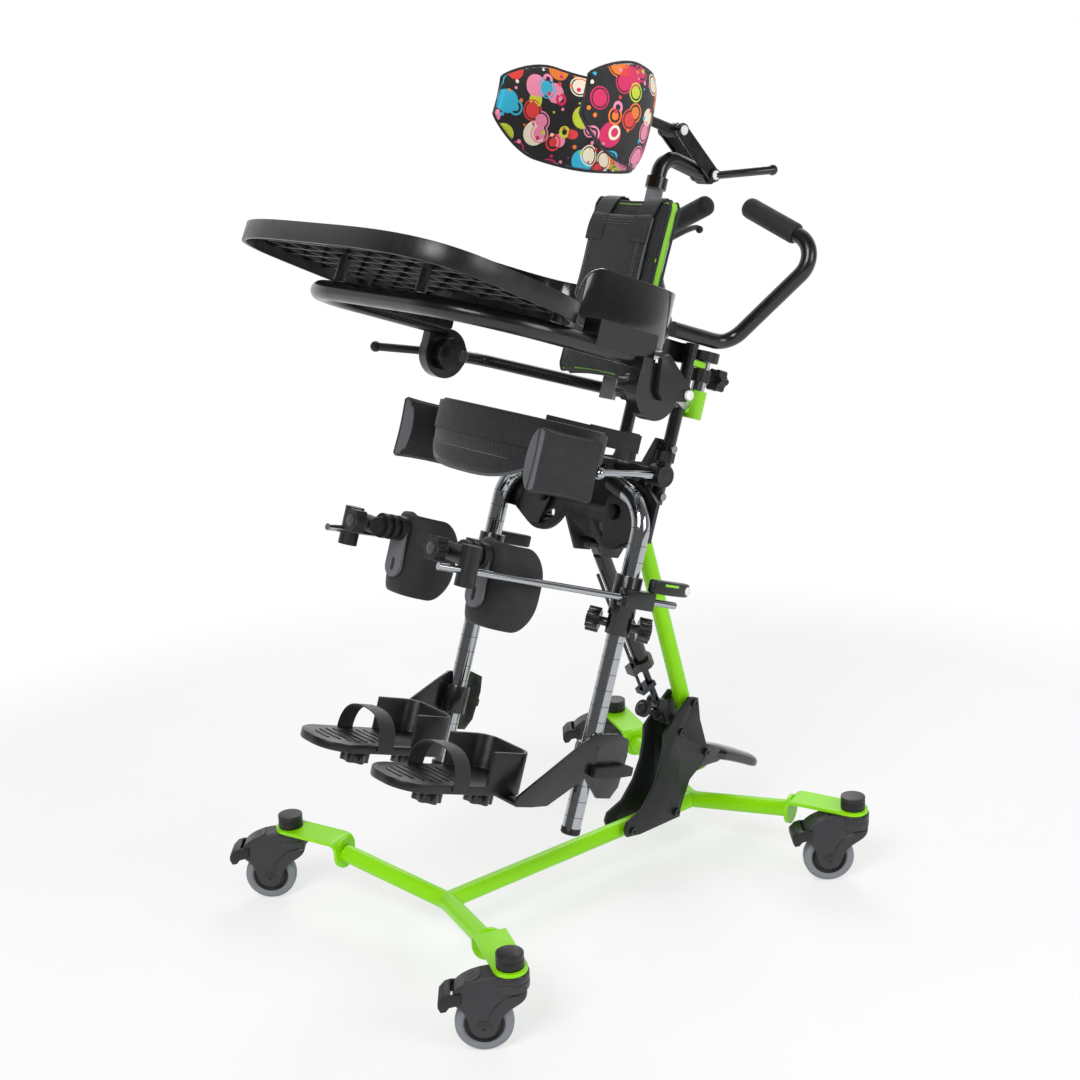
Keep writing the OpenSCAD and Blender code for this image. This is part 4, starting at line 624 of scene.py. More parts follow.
def bent_pad(a: float, b: float, thick: float, high: float, power: float, ends: float, steps: int = 96,
             ring: int = 24) -> Shape:
    """Builds a padded strip bent to a U, with rounded ends.

    Args:
        a: half of its width, at the middle of the padding.
        b: its depth, at the middle of the padding.
        thick: the padding's thickness.
        high: its height.
        power: how square the U is.
        ends: the share of its length in which each end rounds off.
        steps: sections along it.
        ring: points round a section.

    Returns:
        The closed pad, open towards -Y.
    """
    shape, rings, near = bmesh.new(), [], 0.02
    for i in range(steps + 1):
        q = 0.5 - 0.5 * cos(pi * i / steps)
        x, y = half_round(q, a, b, power)
        x1, y1 = half_round(min(q + near, 1), a, b, power)
        x0, y0 = half_round(max(q - near, 0), a, b, power)
        out = Vector((y1 - y0, x0 - x1, 0)).normalized()
        tall, fat = high / 2 * end_ease(q, ends, 0.4), thick / 2 * end_ease(q, ends, 0.55)
        section = [squared(tau * k / ring, 2 / 2.6) for k in range(ring)]
        rings.append([shape.verts.new(Vector((x, y, d * tall)) + out * c * fat) for c, d in section])
    loft(shape, rings)
    return shape


@dataclass(frozen=True)
class Cushion:
    """A sewn pad standing in the x-w plane: crowned front, sides drawn in, channels across it."""

    width: float
    height: float
    thick: float
    at: Point
    channels: int = 0
    crown: float = 0.34
    back_crown: float = 0.113
    edge: float = 0.5
    draw: float = 0.05

    def drawn(self, u: float, w: float, grow: float = 0.0) -> Flat:
        """Returns the place across and up at shares u and w from -1 to 1, with the sides drawn in."""
        return (u * (self.width / 2 + grow) * (1 - self.draw * (1 - w * w)),
                w * (self.height / 2 + grow) * (1 - self.draw * (1 - u * u)))

    def point(self, u: float, w: float, out: float) -> Vector:
        """Finds a point of the pad's surface.

        Args:
            u: the share across it, from -1 to 1.
            w: the share up it, from -1 to 1.
            out: -1 for the front, 1 for the back.

        Returns:
            The point.
        """
        dome = ((1 - abs(u) ** 6) * (1 - abs(w) ** 6)) ** 0.5
        rise = self.edge / 2 + (self.crown if out < 0 else self.back_crown) * dome
        x, z = self.drawn(u, w)
        return Vector(self.at) + Vector((x, out * self.thick * rise, z))

    def solid(self, steps: int = 28) -> Shape:
        """Builds the pad from its front, its back and its edge.

        Args:
            steps: faces along each side.

        Returns:
            The closed pad.
        """
        shape = bmesh.new()
        share = [-1 + 2 * i / steps for i in range(steps + 1)]
        sheets = [[[shape.verts.new(self.point(u, w, out)) for u in share] for w in share]
                  for out in (-1, 1)]
        for grid in sheets:
            for j in range(steps):
                for i in range(steps):
                    shape.faces.new((grid[j][i], grid[j][i + 1], grid[j + 1][i + 1], grid[j + 1][i]))
        edges = [[g[0][i] for i in range(steps)] + [g[j][steps] for j in range(steps)]
                 + [g[steps][steps - i] for i in range(steps)] + [g[steps - j][0] for j in range(steps)]
                 for g in sheets]
        join(shape, edges)
        return shape

    def near_rim(self, p: Vector, within: float = 4.5) -> bool:
        """Tells whether a point lies near the pad's outline.

        Args:
            p: the point.
            within: how near, in millimetres.

        Returns:
            Whether it does.
        """
        x, z = abs(p.x - self.at[0]), abs(p.z - self.at[2])
        u, w = min(2 * x / self.width, 1), min(2 * z / self.height, 1)
        return self.drawn(1, w)[0] - x < within or self.drawn(u, 1)[1] - z < within

    def sew(self, shape: Shape, deep: float = 3.2, wide: float = 4.5) -> None:
        """Presses the sewn channels into a filled pad's front.

        Args:
            shape: the filled pad.
            deep: how deep the thread pulls in.
            wide: how far each channel spreads.
        """
        for v in shape.verts:
            if v.co.y > self.at[1]:
                continue
            w = (v.co.z - self.at[2]) * 2 / self.height
            u = min(abs(v.co.x - self.at[0]) * 2 / self.width, 1)
            for k in range(1, self.channels + 1):
                off = (w + 1 - 2 * k / (self.channels + 1)) * self.height / 2
                v.co.y += deep * np.exp(-(off / wide) ** 2) * (1 - u ** 8)

    @staticmethod
    def around(steps: int) -> list[list[float]]:
        """Returns shares u and w at steps round a square with rounded corners."""
        return [[max(-1, min(1, 1.1 * t)) for t in squared(tau * i / steps, 0.4)] for i in range(steps)]

    def rim(self, out: float, grow: float) -> list[Vector]:
        """Follows the pad's edge.

        Args:
            out: -1 for the front seam, 1 for the back one, 0 between them.
            grow: how far outside the pad it lies.

        Returns:
            The loop's points.
        """
        deep = out * self.thick * self.edge / 2
        places = [self.drawn(u, w, grow) for u, w in self.around(112)]
        return [Vector(self.at) + Vector((x, deep, z)) for x, z in places]


def stitch(shape: Shape, path: Sequence[Vector], up: Vector = -ALONG, pitch: float = 4.4,
           thick: float = 0.55) -> None:
    """Adds a row of stitches along a path.

    Args:
        shape: the mesh that grows.
        path: the seam's points.
        up: the direction out of the cloth.
        pitch: from one stitch to the next.
        thick: the thread's half thickness.
    """
    left = 0.0
    knots = ((0.0, 0), (0.16, 1), (0.52, 1), (0.68, 0))
    for a, b in zip(path, path[1:]):
        long, along = (b - a).length, (b - a).normalized()
        while left + pitch * knots[-1][0] < long:
            start = a + along * left
            loop = [start + along * pitch * q + up * thick * rise for q, rise in knots]
            sweep(shape, loop, disc(thick, 5), up)
            left += pitch
        left = max(left - long, 0.0)


def piece(shape: Shape, name: str, finish: Finish, body: str, place: Matrix = SUPPORT,
          stands_for: Iterable[str] = (), smooth_deg: float = 40, subdivide: int = 0,
          second: tuple[Finish, Test] | None = None) -> bpy.types.Object:
    """Makes a mesh a piece of the object.

    Args:
        shape: the mesh, in the place's millimetres.
        name: the piece's name.
        finish: its finish.
        body: the CAD body that it moves with.
        place: the frame of its millimetres.
        stands_for: CAD nodes that it replaces.
        smooth_deg: edges sharper than this stay sharp.
        subdivide: levels of subdivision.
        second: another finish, and the faces that take it.

    Returns:
        The piece.
    """
    mesh = bpy.data.meshes.new(name)
    bmesh.ops.recalc_face_normals(shape, faces=shape.faces)
    if second:
        shape.normal_update()
        for f in shape.faces:
            f.material_index = int(second[1](f.calc_center_median(), f.normal))
    shape.transform(place)
    shape.to_mesh(mesh)
    shape.free()
    mesh.shade_smooth()
    mesh.set_sharp_from_angle(angle=radians(smooth_deg))
    mesh.materials.append(finish.material())
    if second:
        mesh.materials.append(second[0].material())
    made = bpy.data.objects.new(name, mesh)
    bpy.context.scene.collection.objects.link(made)
    if subdivide:
        rounder = made.modifiers.new("rounder", "SUBSURF")
        rounder.levels = rounder.render_levels = subdivide
    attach(made, body)
    if stands_for:
        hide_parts(*stands_for)
    LOG.info("%s on %s: %d faces", name, body, len(mesh.polygons))
    return made


def paint(finish: Finish, *nodes: str, others: Sequence[tuple[Finish, Test]] = (), place: Matrix = SUPPORT,
          edge_mm: float = 0.0) -> None:
    """Gives CAD nodes their finish, smooth shading and rounded edges.

    Args:
        finish: the finish.
        nodes: the nodes' names.
        others: further finishes, and the faces that take each one.
        place: the frame in which faces are told apart.
        edge_mm: the radius that the edges are broken to.
    """
    back = place.inverted()
    for node in nodes:
        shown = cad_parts[node]
        mesh = shown.data
        mesh.materials.clear()
        for f in (finish, *[o[0] for o in others]):
            mesh.materials.append(f.material())
        for p in mesh.polygons if others else ():
            at, out = back @ p.center, (back.to_3x3() @ p.normal).normalized()
            p.material_index = next((i + 1 for i, o in enumerate(others) if o[1](at, out)), 0)
        if "custom_normal" in mesh.attributes:
            mesh.attributes.remove(mesh.attributes["custom_normal"])
        mesh.shade_smooth()
        shown.modifiers.new("weld", "WELD").merge_threshold = 1e-6
        if edge_mm:
            flat = shown.modifiers.new("flats", "DECIMATE")
            flat.decimate_type, flat.angle_limit, flat.delimit = "DISSOLVE", radians(0.4), {"MATERIAL"}
            round_off = shown.modifiers.new("broken_edges", "BEVEL")
            round_off.width, round_off.segments, round_off.angle_limit = edge_mm * MM, 2, radians(42)
            round_off.limit_method, round_off.use_clamp_overlap = "ANGLE", True
        shown.modifiers.new("creases", "EDGE_SPLIT").split_angle = radians(38)
        LOG.info("%s painted %s", node, finish.name)


def socket_head(shape: Shape, place: Matrix, radius: float, high: float, steps: int = 24) -> None:
    """Adds a bolt's head with a six-sided socket.

    Args:
        shape: the mesh that grows.
        place: the seat of the head, +Z outward.
        radius: the head's radius.
        high: the head's height.
        steps: points round it.
    """
    hexagon, sixth = 0.52 * radius, pi / 3
    rings = []
    for r, z, six in ((radius, 0, False), (radius, high * 0.8, False), (radius * 0.86, high, False),
                      (hexagon, high, True), (hexagon, high * 0.25, True)):
        points = []
        for q in (tau * i / steps for i in range(steps)):
            far = r * cos(sixth / 2) / cos(q % sixth - sixth / 2) if six else r
            points.append(shape.verts.new(place @ Vector((far * cos(q), far * sin(q), z))))
        rings.append(points)
    join(shape, rings)
    shape.faces.new(rings[-1])


def knob_cap(shape: Shape, at: Sequence[float], out: Sequence[float], radius: float = 8.0) -> None:
    """Adds a knob's domed centre cap at a point, facing out."""
    lathe(shape, ((radius, -0.4), (radius, 0.9), (radius * 0.86, 1.7), (radius * 0.5, 2.2), (0, 2.4)),
          aim(at, out), 24)


@dataclass
class Base:
    """The green base, its plates, bolts, caps and the foot pedal."""

    cap_top: float = 131.6
    cap_r: float = 17.65
    plate_face: float = 25.0
    bolts: Outline = ((229.95, 234.48), (253.93, 145.97), (189.0, 66.1), (98.0, 64.94), (201.95, 194.93))
    bolt_r: float = 5.8
    bolt_h: float = 4.2
    pedal_bolt: int = 1
    tread: Outline = ((15, -11), (46, -17), (90, -43), (132, -65))
    neck_half: float = 19.2
    tread_half: float = 24.0
    crown: float = 13.5
    lip: float = 10.0
    ear: Outline = ((-10, 9), (2, 12), (16, 7), (40, -8), (40, -30), (22, -27), (0, -26), (-26, -33),
                    (-36, -26), (-24, -12))
    ear_faces: Flat = (14.7, 19.4)
    ear_ease: float = 1.2

    def dress(self) -> None:
        """Paints the base's nodes."""
        paint(GREEN, "base_frame", "mast")
        paint(CHARCOAL, "pivot_plates", edge_mm=0.8)
        paint(NYLON, "base_hardware", "lock_plunger")
        paint(BLACK, "spring_cylinder")
        paint(NITRIDED, "spring_rod")

    def build(self) -> None:
        """Builds the bolt heads, the caps' crowns and the foot pedal."""
        heads, crowns, r = bmesh.new(), bmesh.new(), self.cap_r
        for y, z in self.bolts:
            for s in BOTH:
                socket_head(heads, aim((s * self.plate_face, y, z), (s, 0, 0)), self.bolt_r, self.bolt_h)
        piece(heads, "plate_bolt_heads", BLACK, "base", BASE)
        crown = ((r + 0.15, -17), (r + 0.15, -6), (r - 0.5, -5.2), (r - 0.5, -4.2), (r + 0.15, -3.4),
                 (r + 0.1, -1.2), (r - 1.4, 0.5), (r - 6, 1.1), (0, 1.4))
        for sx in BOTH:
            for sy in BOTH:
                lathe(crowns, crown, aim((sx * STEM_X, sy * STEM_Y, self.cap_top), UP), 40)
        piece(crowns, "base_cap_crowns", NYLON, "base", BASE)
        self.pedal()

    def pedal(self) -> None:
        """Builds the foot pedal: a tongue that arches out of the plates and narrows to a round tip."""
        shape, rings, steps, half = bmesh.new(), [], 64, 28
        hinge = Matrix.Translation((0, *self.bolts[self.pedal_bolt])) @ ACROSS
        path = interpolate_bezier(*(Vector((y, z, 0)) for y, z in self.tread), steps)
        upper, lower = (rounded(1, 1, power, half) for power in (2.3, 4.5))
        for i, p in enumerate(path):
            q = i / (steps - 1)
            along = (path[min(i + 1, steps - 1)] - path[max(i - 1, 0)]).normalized()
            up = Vector((-along.y, along.x, 0))
            tip = (1 - max((q - 0.8) / 0.2, 0) ** 2.4) ** 0.5 if q < 1 else 0.08
            spread = min(max((q - 0.14) / 0.16, 0), 1)
            wide = (self.neck_half + (self.tread_half - self.neck_half) * spread) * (1 - 0.2 * q ** 2) * tip
            high, deep = self.crown * (1 - 0.15 * q) * tip, self.lip * (1 - 0.25 * q) * (0.4 + 0.6 * tip)
            section = [(a, b * high) for a, b in upper[:half]] + [(a, b * deep) for a, b in lower[half:]]
            rings.append([shape.verts.new(hinge @ (p + up * b + UP * wide * a)) for a, b in section])
        loft(shape, rings)
        for s in BOTH:
            low, high = sorted(s * x for x in self.ear_faces)
            eased_slab(shape, smooth_loop(self.ear), low, high, self.ear_ease, hinge)
        piece(shape, "foot_pedal", GLOSS, "tilt_pedal", BASE, ("tilt_pedal",))


@dataclass
class Casters:
    """Four braked casters: wheels, hub covers, hoods with their trim, and the pedals' ribs."""

    wheel_r: float = 37.5
    half_w: float = 11.0
    core_r: float = 25.5
    trail: float = 35.0
    hood_face: float = 16.75
    cheek_gap: float = 1.25
    roof_gap: float = 2.5
    turn: float = radians(231.6)
    outline: Outline = ((-16, 107), (20, 108.4), (48, 104), (68, 92.5), (74.5, 82), (71, 67), (61, 62.5),
                        (55, 47), (50, 26), (35, 21), (20, 26), (17, 44), (4, 60), (-16, 70), (-22, 84))
    collar: Outline = ((0, 84), (20, 84), (23.2, 86), (23.8, 88), (23.8, 95), (22.6, 96), (22.6, 98),
                       (23.8, 99), (23.8, 106.2), (22.8, 107.4), (0, 107.4))
    ridge: Outline = ((-18, 81), (8, 82), (20, 68), (29, 49))
    ridge_section: Outline = ((-2, -0.4), (-1.2, 1), (0, 1.5), (1.2, 1), (2, -0.4))
    rib: Outline = ((0, -17), (0.9, -16.4), (1.1, 0), (0.9, 16.4), (0, 17))
    panel_at: Point = (47.5, 0, 102.2)
    panel_way: Point = (10, 0, -4.2)
    panel_half: Flat = (10.5, 13.5)
    pedal_face: tuple[Point, Point] = ((83.2, 0, 84.4), (90.9, 0, 75.6))

    def dress(self) -> None:
        """Paints the brake pedals."""
        paint(NYLON, *[f"caster_pedal_{k}" for k, _, _ in CASTERS], edge_mm=1.0)

    def build(self) -> None:
        """Builds each caster's wheel, hub covers, hood and trim."""
        h, r, c = self.half_w, self.wheel_r, self.core_r
        axle, swivel = aim((self.trail, 0, r), ALONG), Matrix.Rotation(self.turn, 4, "Z")
        side = [(c, h - 2.2), (c + 1.2, h - 0.6), (c + 3.5, h), (r - 5, h - 0.3), (r - 2.2, h - 1.8),
                (r - 0.6, h - 4.6), (r, 0)]
        face = [(4.05, h), (9.5, h), (10.5, h - 0.8), (11, h - 3.4), (c - 4, h - 4), (c - 2.6, h - 2.4),
                (c - 0.1, h - 2)]
        for k, sx, sy in CASTERS:
            stem = BASE @ Matrix.Translation((sx * STEM_X, sy * STEM_Y, 0)) @ swivel
            tyre, core, cover = bmesh.new(), bmesh.new(), bmesh.new()
            lathe(tyre, mirrored(side), axle, 56)
            piece(tyre, f"tyre_{k}", TYRE, f"wheel_{k}", stem, (f"caster_wheel_{k}",))
            lathe(core, mirrored(face), axle, 40)
            piece(core, f"wheel_core_{k}", NYLON, f"wheel_{k}", stem)
            for s in BOTH:
                nut = aim((self.trail, s * self.hood_face, r), (0, s, 0))
                socket_head(cover, nut, 6.2, 2.6)
                lathe(cover, ((10.5, -0.3), (10.5, 0.5), (9.6, 1.0), (0, 1.0)), nut, 6)
            piece(cover, f"hub_covers_{k}", HOUSING, f"caster_{k}", stem)
            self.hood(k, stem)
            self.trim(k, stem)

    def hood(self, k: str, stem: Matrix) -> None:
        """Builds a caster's hood: two cheeks, the bridge over the wheel, the swivel collar and the axle.

        Args:
            k: the caster's letters.
            stem: the place of its stem, with +X along its trail.
        """
        shape = bmesh.new()
        loop, axle = smooth_loop(self.outline), Vector((self.trail, self.wheel_r))
        side_on = Matrix(((1, 0, 0, 0), (0, 0, 1, 0), (0, 1, 0, 0), (0, 0, 0, 1)))
        for s in BOTH:
            low, high = sorted((s * (self.half_w + self.cheek_gap), s * self.hood_face))
            eased_slab(shape, loop, low, high, 2.2, side_on)
        clear = self.wheel_r + self.roof_gap
        away = [(Vector(p) - axle).length > clear + 0.4 for p in loop]
        first = next(i for i in range(len(loop)) if away[i] and not away[i - 1])
        roof = [loop[(first + i) % len(loop)] for i in range(sum(away))]
        turns = [(Vector(p) - axle).angle_signed(Vector((1, 0))) for p in (roof[-1], roof[0])]
        roof += [tuple(axle + clear * Vector((cos(q), sin(q)))) for q in np.linspace(*turns, 20)]
        slab(shape, roof, -self.half_w - 2, self.half_w + 2, side_on)
        lathe(shape, self.collar, LEVEL, 40)
        lathe(shape, ((0, -13), (4, -13), (4, 13), (0, 13)), aim((self.trail, 0, self.wheel_r), ALONG), 20)
        piece(shape, f"caster_hood_{k}", HOUSING, f"caster_{k}", stem,
              (f"caster_housing_{k}",))

    def trim(self, k: str, stem: Matrix) -> None:
        """Builds the hood's curved ridges and top panel, and the brake pedal's ribs.

        Args:
            k: the caster's letters.
            stem: the place of its stem, with +X along its trail.
        """
        hood, ribs = bmesh.new(), bmesh.new()
        for s in BOTH:
            knots = [Vector((d, s * self.hood_face, z)) for d, z in self.ridge]
            sweep(hood, interpolate_bezier(*knots, 24), self.ridge_section, ALONG * s)
        along = Vector(self.panel_way).normalized()
        slope = Matrix((along, ALONG, along.cross(ALONG))).transposed().to_4x4()
        panel = Matrix.Translation(self.panel_at) @ slope
        slab(hood, rounded(*self.panel_half), -1.8, 0.6, panel)
        lathe(hood, ((5.6, 0.4), (5.6, 1.1), (4.6, 1.1), (4.6, 0.4)), panel, 32)
        for d in (-9.2, -7.4, 7.4, 9.2):
            slab(hood, [(d + x, y) for x, y in rounded(0.6, 11)], 0.4, 1.1, panel)
        piece(hood, f"hood_trim_{k}", HOUSING, f"caster_{k}", stem)
        top, low = (Vector(p) for p in self.pedal_face)
        for q in (0.2, 0.4, 0.6, 0.8):
            lathe(ribs, self.rib, aim(top.lerp(low, q), ALONG), 10)
        piece(ribs, f"brake_ribs_{k}", NYLON, f"brake_{k}", stem)


@dataclass
class Back:
    """The leaning frame, its grips and hand lever, the trunk shell, the back pad and the vest."""

    grip_l: float = 98.0
    grip_r: float = 15.0
    bore_r: float = 11.1
    handle: tuple[Point, Point] = ((180, 76, 396), (44, 52, 444))
    lever_ends: tuple[Point, Point] = ((-140.9, 59.1, 377.8), (-36.7, 40.7, 414.6))
    sleeve: Flat = (47.0, 29.8)
    collar_top: float = 173.1
    rod_top: float = 216.0
    rod_r: float = 10.2
    sleeve_knob: Point = (47, 71.8, 195)
    tray_knob: Point = (172, -225, 146)
    bracket: Point = (47, 13, 205)
    shell_half: float = 141.0
    shell_deep: float = 203.0
    shell_front: float = -305.0
    shell_low: float = 206.0
    shell_top: float = 284.0
    shell_t: float = 5.0
    shell_corner: float = 36.0
    cushion: Cushion = Cushion(152, 250, 32, (0, -119.316, 283), 2)
    chest: Cushion = Cushion(122, 120, 9, (0, -141.763, 322))
    strap_x: float = 44.0
    strap_half: float = 17.0
    strap_t: float = 0.8
    strap_path: Outline = (
        (-146.4, 344), (-146.6, 356), (-145.6, 368), (-143.2, 378), (-140.6, 386), (-137.6, 394),
        (-133.4, 402), (-127.6, 408), (-121.0, 410.8), (-114.6, 410.4), (-109.2, 407), (-106.2, 401),
        (-105.4, 393), (-105.4, 380))

    def dress(self) -> None:
        """Paints the support's hard nodes; the sleeve has a lime collar and a chromed rod."""
        paint(CHARCOAL, "hub_plates", edge_mm=0.8)
        paint(BLACK, "back_frame", "push_handles")
        paint(ZINC, "frame_bolts")
        paint(NYLON, "post_sleeve", others=(
            (LIME, lambda p, n: p.z < self.collar_top),
            (CHROME, lambda p, n: p.z < self.rod_top and (p.xy - Vector(self.sleeve)).length < self.rod_r)))

    def build(self) -> None:
        """Builds the grips, the shell, the lever, the pads, the knob caps and the post's upper bracket."""
        grips, r, l = bmesh.new(), self.grip_r, self.grip_l
        for s in BOTH:
            root, tip = (Vector((s * x, y, z)) for x, y, z in self.handle)
            lathe(grips, ((self.bore_r, l - 6), (r - 2.5, l - 6), (r - 0.6, l - 7.5), (r, l - 10), (r, 3),
                          (r - 0.8, -1.5), (r - 3.2, -4.6), (r - 8, -6), (0, -6)), aim(tip, root - tip), 32)
        foam = piece(grips, "handle_foam_grips", FOAM, "support", stands_for=("handle_grips",))
        self.shell()
        self.lever()
        self.pad()
        self.vest()
        caps, bracket = bmesh.new(), bmesh.new()
        knob_cap(caps, self.sleeve_knob, ALONG)
        for s in BOTH:
            knob_cap(caps, (s * self.tray_knob[0], *self.tray_knob[1:]), (-s, 0, 0))
        piece(caps, "support_knob_caps", CAP, "support")
        eased_slab(bracket, rounded(11, 14), 0, 9, 1.5, Matrix.Translation(self.bracket))
        piece(bracket, "post_upper_bracket", LIME, "support")

    def shell(self) -> None:
        """Builds the trunk shell: a plate bent to a U, with rounded corners."""
        dense = np.array([half_round(i / 600, self.shell_half, self.shell_deep, 5) for i in range(601)])
        run = np.concatenate(([0], np.cumsum(np.linalg.norm(np.diff(dense, axis=0), axis=1))))
        whole, big, small, t = run[-1], self.shell_corner, self.shell_corner * 0.6, self.shell_t
        start = [big * (1 - cos(pi / 2 * k / 10)) for k in range(11)]
        middle = [big + (whole - 2 * big) * k / 90 for k in range(1, 90)]
        shape, rings = bmesh.new(), []
        for s in start + middle + [whole - q for q in start[::-1]]:
            here, ahead, back = (Vector([np.interp(q, run, dense[:, k]) for k in (0, 1)])
                                 for q in (s, min(s + 1, whole), max(s - 1, 0)))
            out = Vector((ahead.y - back.y, back.x - ahead.x)).normalized()
            end = min(s, whole - s)
            top, low = (r - (r * r - max(r - end, 0) ** 2) ** 0.5 for r in (big, small))
            top, low = self.shell_top - top, self.shell_low + low
            points = []
            for deep, high in ((0, low + 1.4), (0, top - 1.4), (0.5, top - 0.4), (1.5, top), (t - 1.5, top),
                               (t - 0.5, top - 0.4), (t, top - 1.4), (t, low + 1.4), (t - 1.5, low),
                               (1.5, low)):
                x, y = here - out * deep
                points.append(shape.verts.new((x, self.shell_front + y, high)))
            rings.append(points)
        loft(shape, rings)
        piece(shape, "trunk_shell", GLOSS, "support", stands_for=("back_shell",))

    def lever(self) -> None:
        """Builds the hand lever: a flat bar that hooks down at its end."""
        pin, tip = (Vector(p) for p in self.lever_ends)
        shape, r = bmesh.new(), 5.6
        path = interpolate_bezier(pin, pin.lerp(tip, 0.55), pin.lerp(tip, 0.92) + Vector((0, 0, 4)),
                                  tip + Vector((2, 0, -9)), 28)
        sweep(shape, path, [(x * 0.7, y) for x, y in disc(r, 14)], Vector((0, 1, 0.2)))
        lathe(shape, ((0, -r), (3.4, -4.6), (5.2, -2), (r, 0), (5.2, 2), (3.4, 4.6), (0, r)),
              aim(path[-1], UP), 16)
        lathe(shape, ((0, -7), (7.6, -7), (9, -5.6), (9, 5.6), (7.6, 7), (0, 7)), aim(pin, ALONG), 28)
        piece(shape, "hand_lever", NYLON, "tilt_lever", stands_for=("tilt_lever",))

    def pad(self) -> None:
        """Builds the back pad with sewn channels, a lime gusset and piping."""
        form = self.cushion
        filled = plump(form.solid(), 5, 5, lambda p: p.y > form.at[1] + form.thick * 0.3 or form.near_rim(p))
        form.sew(filled)
        side = (LIME_CLOTH, lambda p, n: abs(p.y - form.at[1]) < form.thick * 0.27 and abs(n.y) < 0.8)
        pad = piece(filled, "back_cushion", CLOTH, "support", stands_for=("back_pad",),
                    subdivide=1, second=side)
        cord, thread = bmesh.new(), bmesh.new()
        for out in (-1, 1):
            sweep(cord, form.rim(out, 0.4), disc(1.9, 8), ALONG, True)
        piece(cord, "back_cushion_piping", CLOTH, "support")
        for k in range(1, form.channels + 1):
            w = 2 * k / (form.channels + 1) - 1
            stitch(thread, [form.point(u / 20, w, -1) + ALONG * 3.0 for u in range(-18, 19)])
        piece(thread, "back_cushion_stitches", GREY_CLOTH, "support")

    def vest(self) -> None:
        """Builds the chest vest with its piping, its stitched rows and its shoulder straps."""
        form = self.chest
        filled = plump(form.solid(), 4, 3, lambda p: p.y > form.at[1] + 1 or form.near_rim(p))
        vest = piece(filled, "chest_pad", CLOTH, "support", stands_for=("chest_vest",),
                     subdivide=1)
        cord, thread = bmesh.new(), bmesh.new()
        sweep(cord, form.rim(0, 0.3), disc(1.7, 8), ALONG, True)
        piece(cord, "chest_pad_piping", GREY_CLOTH, "support")
        for inset in (0.86, 0.8):
            ring = [form.point(inset * u, inset * w, -1) for u, w in form.around(96)]
            stitch(thread, ring + ring[:1])
        piece(thread, "chest_pad_stitches", GREY_CLOTH, "support")
        for s, k in SIDES:
            strap = bmesh.new()
            path = [Vector((s * self.strap_x, v, w)) for v, w in self.strap_path]
            sweep(strap, path, webbing(self.strap_half, self.strap_t), Vector((0, -1, 0.3)))
            ribbon = piece(strap, f"shoulder_strap_{k}", WEB, "support")


